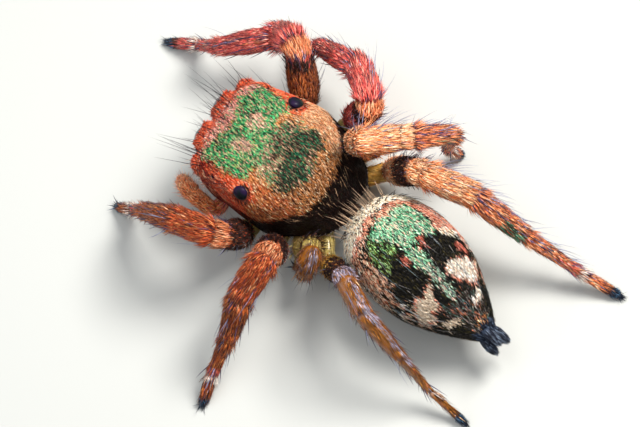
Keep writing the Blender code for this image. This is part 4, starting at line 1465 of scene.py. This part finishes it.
    def build(self, finishes: Finishes, rng: np.random.Generator) -> None:
        """Skin, flakes, hair, spines and claw tuft of the leg."""
        skin = self.surface()
        nodes = [f"{self.name}_{part}" for part in ("coxa", "femur", "shin", "foot")]
        # The skin is darkened as painted shade under the coat, less on the bare glossy legs.
        settle(skin.painted(self.name + "_skin", self.zones, 0.8 if self.glossy else 0.6),
               finishes.bare if self.glossy else finishes.skin, Slot.LEG, *nodes)
        coat = Coat(skin)
        roots = skin.roots(rng, self.flakes)
        segment, share, reach = self.where(roots)
        dense = np.where(reach < self.ends[1], 0.10, 1.0)
        # On glossy legs the scales are thinned out but for the strip facing the key light, partly a painted
        # highlight.
        if self.glossy:
            bare = ((segment > 1) | (self.thigh is YELLOW)) & ((segment < 5) | (share < 0.6))
            dense = np.where(bare & (self.sheen(roots) < 0.86), 0.05, dense)
        roots = roots.only((rng.random(len(roots)) < dense) & (roots.point[:, 2] > 0.02))
        coat.scales(rng, roots, jitter(rng, roots.along, 0.09), spread(rng, len(roots), 0.190, 0.4),
                    (0.0165, 0.35), (0.08, 0.9), self.zones(roots), 0.20)
        coat.build(self.name + "_scales", finishes.scales, Slot.LEG)
        self.hair(skin, finishes, rng)

    def hair(self, skin: Skin, finishes: Finishes, rng: np.random.Generator) -> None:
        """Fine hair all round, dark bristles, stout spines and the dark tuft over the claws."""
        coat = Coat(skin)
        roots = skin.roots(rng, 1000 if self.glossy else 1400)
        segment, _, _ = self.where(roots)
        roots = roots.only((segment > 0) & (roots.point[:, 2] > 0.05))
        count = len(roots)
        under = (roots.normal[:, 2] < -0.1) & (not self.glossy)
        shade = np.where(under[:, None], (0.66, 0.58, 0.54, 0.0), (0.24, 0.09, 0.06, 0.0))
        aim = jitter(rng, roots.along, 0.14) + spread(rng, count, 0.26, 0.7)[:, None] * roots.normal
        coat.hairs(roots, aim, spread(rng, count, 0.16, 0.5), 0.0038, -0.12 * roots.normal,
                   tinge(rng, shade))
        places = skin.roots(rng, 9000)
        segment, share, _ = self.where(places)
        outward = places.normal[:, 1] * np.sign(self.coxa[1]) > 0.15
        outer = outward & (places.normal[:, 2] > -0.4) & (segment > 0) & (segment < 5)
        knee = (segment == 1) & (share > 0.66) & (share < 0.88)
        black = (0.014, 0.009, 0.012, 0.1)
        plume = (0.24, 0.25, 0.38, 0.1)
        for keep, number, length, radius, stand, colour in (
                (segment > 0, 80, 0.20, 0.0046, 0.60, black),
                (outer, self.plumes, 0.40, 0.0066, 0.62, plume),
                (knee, 80, 0.19, 0.0085, 0.70, black)):
            roots = places.only(keep & (places.point[:, 2] > 0.06)).thin(rng, number)
            count = len(roots)
            aim = jitter(rng, roots.along, 0.15) + spread(rng, count, stand, 0.4)[:, None] * roots.normal
            coat.hairs(roots, aim, spread(rng, count, length, 0.4), spread(rng, count, radius),
                       0.24 * roots.along - 0.10 * roots.normal, tinge(rng, plain(count, *colour)),
                       rings=4)
        self.spines(skin, coat, rng)
        coat.build(self.name + "_hair", finishes.hair, Slot.LEG)

    def spines(self, skin: Skin, coat: Coat, rng: np.random.Generator) -> None:
        """Stout spines at set places on the femur, tibia and metatarsus, and the claw tuft."""
        places = skin.everywhere()
        segment, share, _ = self.where(places)
        angle = places.column / self.sides * 360
        chosen = []
        for part, along, around in SPINES:
            off = np.abs(share - along) * 4 + np.abs(angle - around) / 40 + (segment != part) * 100
            chosen.append(int(np.argmin(off)))
        roots = places.only(np.array(chosen))
        count = len(roots)
        aim = 0.95 * roots.along + 0.32 * roots.normal
        coat.hairs(roots, aim, spread(rng, count, 0.42, 0.15), 0.0115, -0.06 * roots.normal,
                   plain(count, 0.07, 0.05, 0.11, 0.1), rings=5)
        roots = skin.roots(rng, 14_000)
        segment, share, _ = self.where(roots)
        roots = roots.only((segment == 5) & (share > 0.78)).thin(rng, 560)
        count = len(roots)
        aim = jitter(rng, 0.8 * roots.along + 0.75 * roots.normal, 0.12)
        blue = either(rng, count, 0.3, (0.06, 0.17, 0.30, 0.3), (0.014, 0.032, 0.060, 0.3))
        coat.hairs(roots, aim, spread(rng, count, 0.105, 0.25), 0.0072, -0.25 * roots.normal,
                   tinge(rng, blue), tip=1.5)


def all_legs() -> list:
    """The eight legs as posed in the solids."""
    return [
        Leg("leg_1_right", Look.ROSY, (-0.40, -0.40), (-0.05, -1.14, 0.43), (1.50, -75, 63),
            (0.71, -6, -45), (1.16, 30, -15), (0.90, 2, -45), (0.73, 14), 1.04, (0.62, 0.80),
            thigh=UMBER, plumes=8, cap=CAP),
        Leg("leg_2_right", Look.ROSY, (-0.72, -0.42), (-0.87, -1.28, 0.43), (1.49, -171, 58),
            (0.88, -37, -12), (1.04, -6, -24), (0.79, 4, -49), (0.54, -1), thigh=ROSY, cap=CAP),
        Leg("leg_3_right", Look.BRIGHT, (-1.05, -0.42), (-1.51, -1.12, 0.43), (1.46, 119, 72),
            (0.97, -150, 6), (0.77, -137, -30), (0.99, 15, -67), (0.58, -107), thigh=ORANGE, plumes=80,
            patch=0.35),
        Leg("leg_4_right", Look.BRIGHT, (-1.38, -0.32), (-1.93, -0.83, 0.43), (1.75, 178, 52),
            (0.92, -173, -18), (1.04, 174, -30), (1.08, 179, -34), (0.79, -179), 1.0, (0.42, 0.78),
            thigh=PEACH, plumes=110, patch=0.85),
        Leg("leg_1_left", Look.RUSTY, (-0.40, 0.40), (-0.30, 1.22, 0.43), (1.42, 114, 69),
            (0.88, 4, -10), (1.00, 1, -37), (0.75, -2, -51), (0.59, 4), 1.02, (0.05, 0.84),
            thigh=RUST, plumes=12, cap=CAP),
        Leg("leg_2_left", Look.RUSTY, (-0.73, 0.42), (-0.87, 1.25, 0.41), (1.49, 153, 65),
            (0.88, 78, -21), (0.81, 85, -43), (0.78, 77, -41), (0.59, 90), 1.07, (0.05, 0.84),
            thigh=RUST, cap=CAP),
        Leg("leg_3_left", Look.BROWN, (-1.05, 0.42), (-1.27, 1.10, 0.43), (0.76, 197, 50),
            (0.46, 98, -5), (0.53, -14, -68), (0.30, -15, -48), (0.28, -10), 0.80, (0.99, 1.2),
            thigh=YELLOW, flakes=7000, plumes=6, cap=YELLOW, glossy=True),
        Leg("leg_4_left", Look.BROWN, (-1.34, 0.34), (-1.86, 1.02, 0.43), (1.71, 162, 54),
            (0.67, 147, -7), (0.99, 161, -40), (0.84, 161, -54), (0.75, 168), 0.80, (0.30, 0.90),
            thigh=AMBER, flakes=11_000, plumes=14, cap=LILAC, glossy=True),
    ]


@dataclass
class Palps:
    """The two feelers beside the mouth, with their long soft hair."""

    left: tuple = ((0.24, 0.52, 0.53), (0.28, 1.18, 0.65), (0.62, 1.15, 0.98), (0.92, 1.04, 0.84),
                   (1.17, 0.92, 0.52))
    right: tuple = ((0.24, -0.52, 0.58), (0.66, -0.80, 0.72), (0.95, -0.62, 0.74), (1.08, -0.46, 0.56),
                    (1.12, -0.38, 0.28))
    radii: tuple = (0.11, 0.14, 0.15, 0.16, 0.10)
    rows: int = 119
    tip_rows: int = 9

    def build(self, finishes: Finishes, rng: np.random.Generator) -> None:
        """Skin, scales and hair of both feelers."""
        for side, joints in (("left", self.left), ("right", self.right)):
            path = Path.rounded(np.array(joints), 0.16)
            end = path.reach[-1]
            tip = self.radii[-1]
            at = np.concatenate((np.linspace(0.005, end - tip, self.rows - self.tip_rows),
                                 end - tip * (1 - np.sin(np.linspace(0, 1.5, self.tip_rows + 1)[1:]))))
            radius = curve(at / end, np.linspace(0, 1, len(self.radii)), self.radii) - COAT_DEPTH
            for joint in path.reach[path.middles]:
                radius -= 0.016 * np.exp(-(((at - joint) / 0.03) ** 2))
            left = np.clip((end - at) / tip, 0, 1)
            skin = path.tube(at, radius * np.sqrt(np.clip(1 - (1 - left) ** 2, 0.01, 1)), 26)
            self.dress(skin, "palp_" + side, finishes, rng)

    def zones(self, roots: Roots) -> list:
        """Orange, with a rosy root and a red-brown tip."""
        share = roots.row / self.rows
        return [(1.0, ORANGE), (rise(share, 0.45, 0.20) * 0.6, ROSY),
                (rise(share, 0.86, 0.96) * 0.8, DEEP_RED)]

    def dress(self, skin: Skin, name: str, finishes: Finishes, rng: np.random.Generator) -> None:
        """Skin, scales and hair of one feeler."""
        # The skin is darkened as painted shade under the scales.
        settle(skin.painted(name + "_skin", self.zones, 0.6), finishes.skin, Slot.LEG, name)
        coat = Coat(skin)
        roots = skin.roots(rng, 2400)
        coat.scales(rng, roots, jitter(rng, roots.along, 0.12), spread(rng, len(roots), 0.10),
                    (0.022, 0.3), (0.10, 0.8), self.zones(roots), 0.18)
        roots = skin.roots(rng, 420)
        count = len(roots)
        shade = either(rng, count, 0.6, (0.86, 0.44, 0.28, 0.0), (0.42, 0.11, 0.05, 0.0))
        aim = jitter(rng, roots.along, 0.2) + spread(rng, count, 0.6, 0.5)[:, None] * roots.normal
        coat.hairs(roots, aim, spread(rng, count, 0.15, 0.4), 0.0042, 0.15 * roots.along,
                   tinge(rng, shade), rings=3)
        coat.build(name + "_coat", finishes.hair, Slot.LEG)


@dataclass
class SmallParts:
    """The waist, the chelicerae and fangs, the mouth, the breast plate, the tail and the claws."""

    tail_root: tuple = (
        ("spinneret_left", 0.112, -0.03, 4.0),
        ("spinneret_right", -0.112, -0.03, -4.0),
        ("tail_knob", 0.0, 0.155, 0.0),
    )

    def tube_piece(self, name: str, points: Array, radii: tuple, mix: Mix, material: bpy.types.Material,
                   slot: Slot, node: str, bend: float = 0.0, sides: int = 24, rows: int = 40) -> Skin:
        """A round piece on a path.

        Args:
            name: the piece's name.
            points: the path's corners.
            radii: its radii, spread evenly along it.
            mix: its colours.
            material, slot, node: its finish, its slot and the node it replaces.
            bend: the radius of the path's bends.
            sides, rows: the grid.

        Returns:
            The skin.
        """
        points = np.array(points, float)
        path = Path.rounded(points, bend) if len(points) > 2 else Path(points)
        at = np.linspace(0.0, path.reach[-1], rows)
        share = at / at[-1]
        radius = curve(share, np.linspace(0, 1, len(radii)), radii)
        radius = radius * np.sqrt(np.clip(1 - ((share - 0.5) / 0.5) ** 10, 0.04, 1))
        skin = path.tube(at, radius, sides)
        mottle = (0.7 + 0.5 * grain(skin.points.reshape(-1, 3), 0.05, 20))[:, None]
        settle(skin.painted(name, lambda _: [(1.0, mix)], mottle), material, slot, node)
        return skin

    def fuzz(self, skin: Skin, name: str, count: int, length: float, colour: tuple, finishes: Finishes,
             slot: Slot, rng: np.random.Generator) -> None:
        """Fine hair over a small piece, lying along it."""
        coat = Coat(skin)
        roots = skin.roots(rng, count)
        aim = jitter(rng, roots.along, 0.2) + 0.5 * roots.normal
        coat.hairs(roots, aim, spread(rng, count, length, 0.4), 0.005, -0.1 * roots.normal,
                   tinge(rng, plain(count, *colour, 0.0)))
        coat.build(name, finishes.hair, slot)

    def jaws(self, finishes: Finishes, rng: np.random.Generator) -> None:
        """The chelicerae, glossy and sparsely haired, each with its folded fang."""
        for side, sign in (("left", 1), ("right", -1)):
            flip = np.array((1.0, sign, 1.0))
            top = np.array((0.53, 0.235, 0.88)) * flip
            tip = np.array((0.72, 0.225, 0.34)) * flip
            skin = self.tube_piece(f"chelicera_{side}_skin", np.array((top, tip)),
                                   (0.20, 0.215, 0.205, 0.15), HORN, finishes.horn, Slot.JAW,
                                   f"chelicera_{side}", sides=36, rows=60)
            self.fuzz(skin, f"chelicera_{side}_hair", 420, 0.16, (0.62, 0.45, 0.38), finishes, Slot.JAW,
                      rng)
            root = tip + np.array((0.05, 0.06, -0.08)) * flip
            bend = root + np.array((-0.03, -0.05, -0.07)) * flip
            end = bend + np.array((-0.10, -0.10, 0.0)) * flip
            self.tube_piece(f"fang_{side}_horn", np.array((root, bend, end)), (0.045, 0.036, 0.012), MAROON,
                            finishes.horn, Slot.JAW, f"fang_{side}", 0.05, 16, 30)

    def plate(self, name: str, node: str, middle: float, half: tuple, low: float, high: float, power: float,
              finishes: Finishes, rng: np.random.Generator) -> None:
        """A rounded plate under the body: rings of a squared ellipse from its middle out and up.

        Args:
            name, node: the piece, and the node it replaces.
            middle: where its middle is, forward.
            half: its half sizes, forward and left.
            low, high: its lowest and highest level.
            power: how square its outline is.
            finishes, rng: the materials and the seeded generator.
        """
        lean = np.linspace(0.04, np.pi - 0.04, 44)[:, None]
        turn = np.linspace(0, 2 * np.pi, 64, endpoint=False)[None]
        size = np.sin(lean) ** 0.45
        forward = middle + half[0] * size * np.sign(np.cos(turn)) * np.abs(np.cos(turn)) ** power
        left = half[1] * size * np.sin(turn)
        up = (low + high) / 2 - (high - low) / 2 * np.cos(lean) + 0 * turn
        skin = Skin(np.stack((forward, left, up), axis=-1))
        mottle = (0.6 + 0.7 * grain(skin.points.reshape(-1, 3), 0.08, 21))[:, None]
        settle(skin.painted(name, lambda _: [(1.0, HORN), (0.5, YELLOW)], mottle), finishes.skin,
               Slot.UNDERSIDE, node)
        coat = Coat(skin)
        roots = skin.roots(rng, 700)
        roots = roots.only(roots.normal[:, 2] < 0.2)
        count = len(roots)
        aim = jitter(rng, np.array((-1.0, 0.0, 0.0)) + 0.5 * roots.normal, 0.2)
        coat.hairs(roots, aim, spread(rng, count, 0.12, 0.4), 0.005, -0.1 * roots.normal,
                   tinge(rng, plain(count, 0.62, 0.52, 0.42, 0.0)))
        coat.build(name + "_hair", finishes.hair, Slot.UNDERSIDE)

    def tail(self, abdomen: Abdomen, finishes: Finishes, rng: np.random.Generator) -> None:
        """The two spinning cones and the knob over them, dark blue and haired."""
        axis, left = abdomen.axes()
        root = np.array(abdomen.start) + axis * (abdomen.length + 0.03) + UP * 0.73
        for node, aside, above, splay in self.tail_root:
            heading = unit(axis + left * np.sin(np.radians(splay)) - UP * 0.12)
            begin = root + left * aside + UP * above - heading * 0.06
            skin = self.tube_piece(node + "_skin", np.array((begin, begin + heading * 0.31)),
                                   (0.088, 0.088, 0.082, 0.066, 0.030), INK, finishes.skin, Slot.TAIL, node,
                                   rows=30)
            coat = Coat(skin)
            roots = skin.roots(rng, 1500)
            count = len(roots)
            aim = jitter(rng, heading + 0.20 * roots.normal, 0.10)
            # Dark blue-black hairs, with one in seven pale blue as painted highlights, and strongly varied
            # in brightness.
            colour = either(rng, count, 0.14, (0.34, 0.44, 0.60, 0.2), (0.014, 0.018, 0.034, 0.2))
            coat.hairs(roots, aim, spread(rng, count, 0.10, 0.5), 0.0042, -0.25 * roots.normal,
                       tinge(rng, colour, 0.4), rings=3)
            coat.build(node + "_hair", finishes.hair, Slot.TAIL)

    def waist(self, abdomen: Abdomen, finishes: Finishes, rng: np.random.Generator) -> None:
        """The stalk between the head shield and the abdomen."""
        axis, _ = abdomen.axes()
        end = np.array(abdomen.start) + UP * 0.90 + axis * 0.05
        points = np.array(((-1.86, 0.09, 0.84), end))
        skin = self.tube_piece("waist_skin", points, (0.11, 0.105, 0.11), BARE, finishes.skin,
                               Slot.UNDERSIDE, "waist")
        self.fuzz(skin, "waist_hair", 160, 0.09, (0.10, 0.06, 0.04), finishes, Slot.UNDERSIDE, rng)

    def claws(self, legs: list, finishes: Finishes) -> None:
        """Two small hooked claws at the end of each leg."""
        rows, sides = 14, 8
        for leg in legs:
            joints = leg.joints()
            ahead = unit(joints[-1] - joints[-2])
            aside = unit(np.cross(ahead, UP))
            for number, sign in ((1, 1), (2, -1)):
                root = joints[-1] - ahead * 0.03 + aside * sign * 0.028 + UP * 0.02
                bend = root + ahead * 0.07 + UP * 0.012
                tip = bend + ahead * 0.03 - UP * 0.045
                path = Path.rounded(np.array((root, bend, tip)), 0.04, 9)
                at = np.linspace(0, path.reach[-1], rows)
                skin = path.tube(at, 0.0125 * (1 - at / at[-1]) ** 0.6 + 0.001, sides)
                colour = plain(rows * sides, 0.02, 0.012, 0.010, 0.1)
                settle(skin.build(f"{leg.name}_claw_{number}", colour), finishes.horn, Slot.LEG)

    def build(self, abdomen: Abdomen, legs: list, finishes: Finishes, rng: np.random.Generator) -> None:
        """All the small parts."""
        self.waist(abdomen, finishes, rng)
        self.jaws(finishes, rng)
        self.plate("breast_plate", "sternum", -0.88, (0.70, 0.345), 0.27, 0.56, 1.0, finishes, rng)
        self.plate("mouth_block", "mouth_lobes", 0.095, (0.225, 0.29), 0.37, 0.66, 0.6, finishes, rng)
        self.tail(abdomen, finishes, rng)
        self.claws(legs, finishes)


@dataclass
class Studio:
    """The camera at the photograph's angle, a pale floor and soft lights.

    middle: where the origin of forward, left and up falls in the picture, in pixels. size: the picture.
    pixels: how many of them a millimetre takes. distance: from the origin to the camera.
    """

    azimuth: float = 20.76
    elevation: float = 64.97
    roll: float = -39.64
    middle: tuple = (276.3, 171.75)
    size: tuple = (640, 427)
    pixels: float = 60.1
    distance: float = 110.0
    sensor: float = 36.0
    floor_half: float = 400.0

    def camera(self) -> None:
        """Place the camera: its view is fixed by three angles and by where the origin falls."""
        azimuth, elevation, roll = np.radians((self.azimuth, self.elevation, self.roll))
        view = np.array((np.cos(elevation) * np.cos(azimuth), -np.cos(elevation) * np.sin(azimuth),
                         -np.sin(elevation)))
        right = unit(np.cross(view, UP))
        above = np.cross(right, view)
        across = right * np.cos(roll) + above * np.sin(roll)
        upward = above * np.cos(roll) - right * np.sin(roll)
        place = (-self.distance * view + across * (self.size[0] / 2 - self.middle[0]) / self.pixels
                 - upward * (self.size[1] / 2 - self.middle[1]) / self.pixels)
        camera = bpy.data.cameras.new("camera")
        camera.sensor_width = self.sensor
        camera.lens = self.pixels * self.distance * self.sensor / self.size[0]
        camera.clip_start = 0.001
        camera.clip_end = 10.0
        item = bpy.data.objects.new("camera", camera)
        columns = [FRAME.turn(axis) for axis in (across, upward, -view)]
        item.matrix_world = Matrix([list(column) for column in columns]).transposed().to_4x4()
        item.matrix_world.translation = Vector(FRAME.place(place))
        bpy.context.scene.collection.objects.link(item)
        bpy.context.scene.camera = item

    def light(self, name: str, place: tuple, size: float, power: float, colour: tuple) -> None:
        """A square soft light that faces the animal.

        Args:
            name: its name.
            place: where it is, in millimetres, forward, left, up.
            size: its side in millimetres.
            power: its strength in watts.
            colour: its tint.
        """
        lamp = bpy.data.lights.new(name, "AREA")
        lamp.size = size * 0.001
        lamp.energy = power
        lamp.color = colour
        item = bpy.data.objects.new(name, lamp)
        where = Vector(FRAME.place(np.array(place, float)))
        aim = Vector(FRAME.place(np.array((-1.0, 0.0, 0.8)))) - where
        item.matrix_world = Matrix.LocRotScale(where, aim.to_track_quat("-Z", "Y"), None)
        bpy.context.scene.collection.objects.link(item)

    def build(self, finishes: Finishes) -> None:
        """Camera, floor, lights and a pale surround."""
        self.camera()
        corners = self.floor_half * np.array(((-1.0, -1.0, 0.0), (1.0, -1.0, 0.0), (1.0, 1.0, 0.0),
                                              (-1.0, 1.0, 0.0)))
        floor = make_mesh("floor", corners, [np.array(((0, 1, 2, 3),))])
        floor.data.materials.append(finishes.floor)
        self.light("key", (-22.0, -30.0, 44.0), 22.0, 0.062, (1.0, 0.97, 0.93))
        self.light("fill", (34.0, 34.0, 30.0), 44.0, 0.009, (0.93, 0.97, 1.0))
        self.light("top", (0.0, 0.0, 60.0), 40.0, 0.012, (1.0, 1.0, 1.0))
        world = bpy.data.worlds.new("surround")
        bpy.context.scene.world = world
        world.use_nodes = True
        sky = world.node_tree.nodes["Background"].inputs
        sky["Color"].default_value = (0.90, 0.94, 1.0, 1.0)
        sky["Strength"].default_value = 0.32
        bpy.context.scene.view_settings.view_transform = "Standard"


def main() -> None:
    """Load the frame, build every piece over it and write how big the whole has become."""
    logging.basicConfig(level=logging.INFO, format="%(message)s")
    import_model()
    FRAME.find()
    rng = np.random.default_rng(7)
    finishes = Finishes()
    Studio().build(finishes)
    HeadShield(eye_pairs()).build(finishes, rng)
    abdomen = Abdomen()
    abdomen.build(finishes, rng)
    legs = all_legs()
    for leg in legs:
        leg.build(finishes, rng)
    Palps().build(finishes, rng)
    SmallParts().build(abdomen, legs, finishes, rng)
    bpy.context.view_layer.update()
    shown = [item for item in bpy.data.objects if item.type == "MESH" and not item.hide_render]
    LOG.info("faces in all: %d", sum(len(item.data.polygons) for item in shown))


if __name__ == "__main__":
    main()
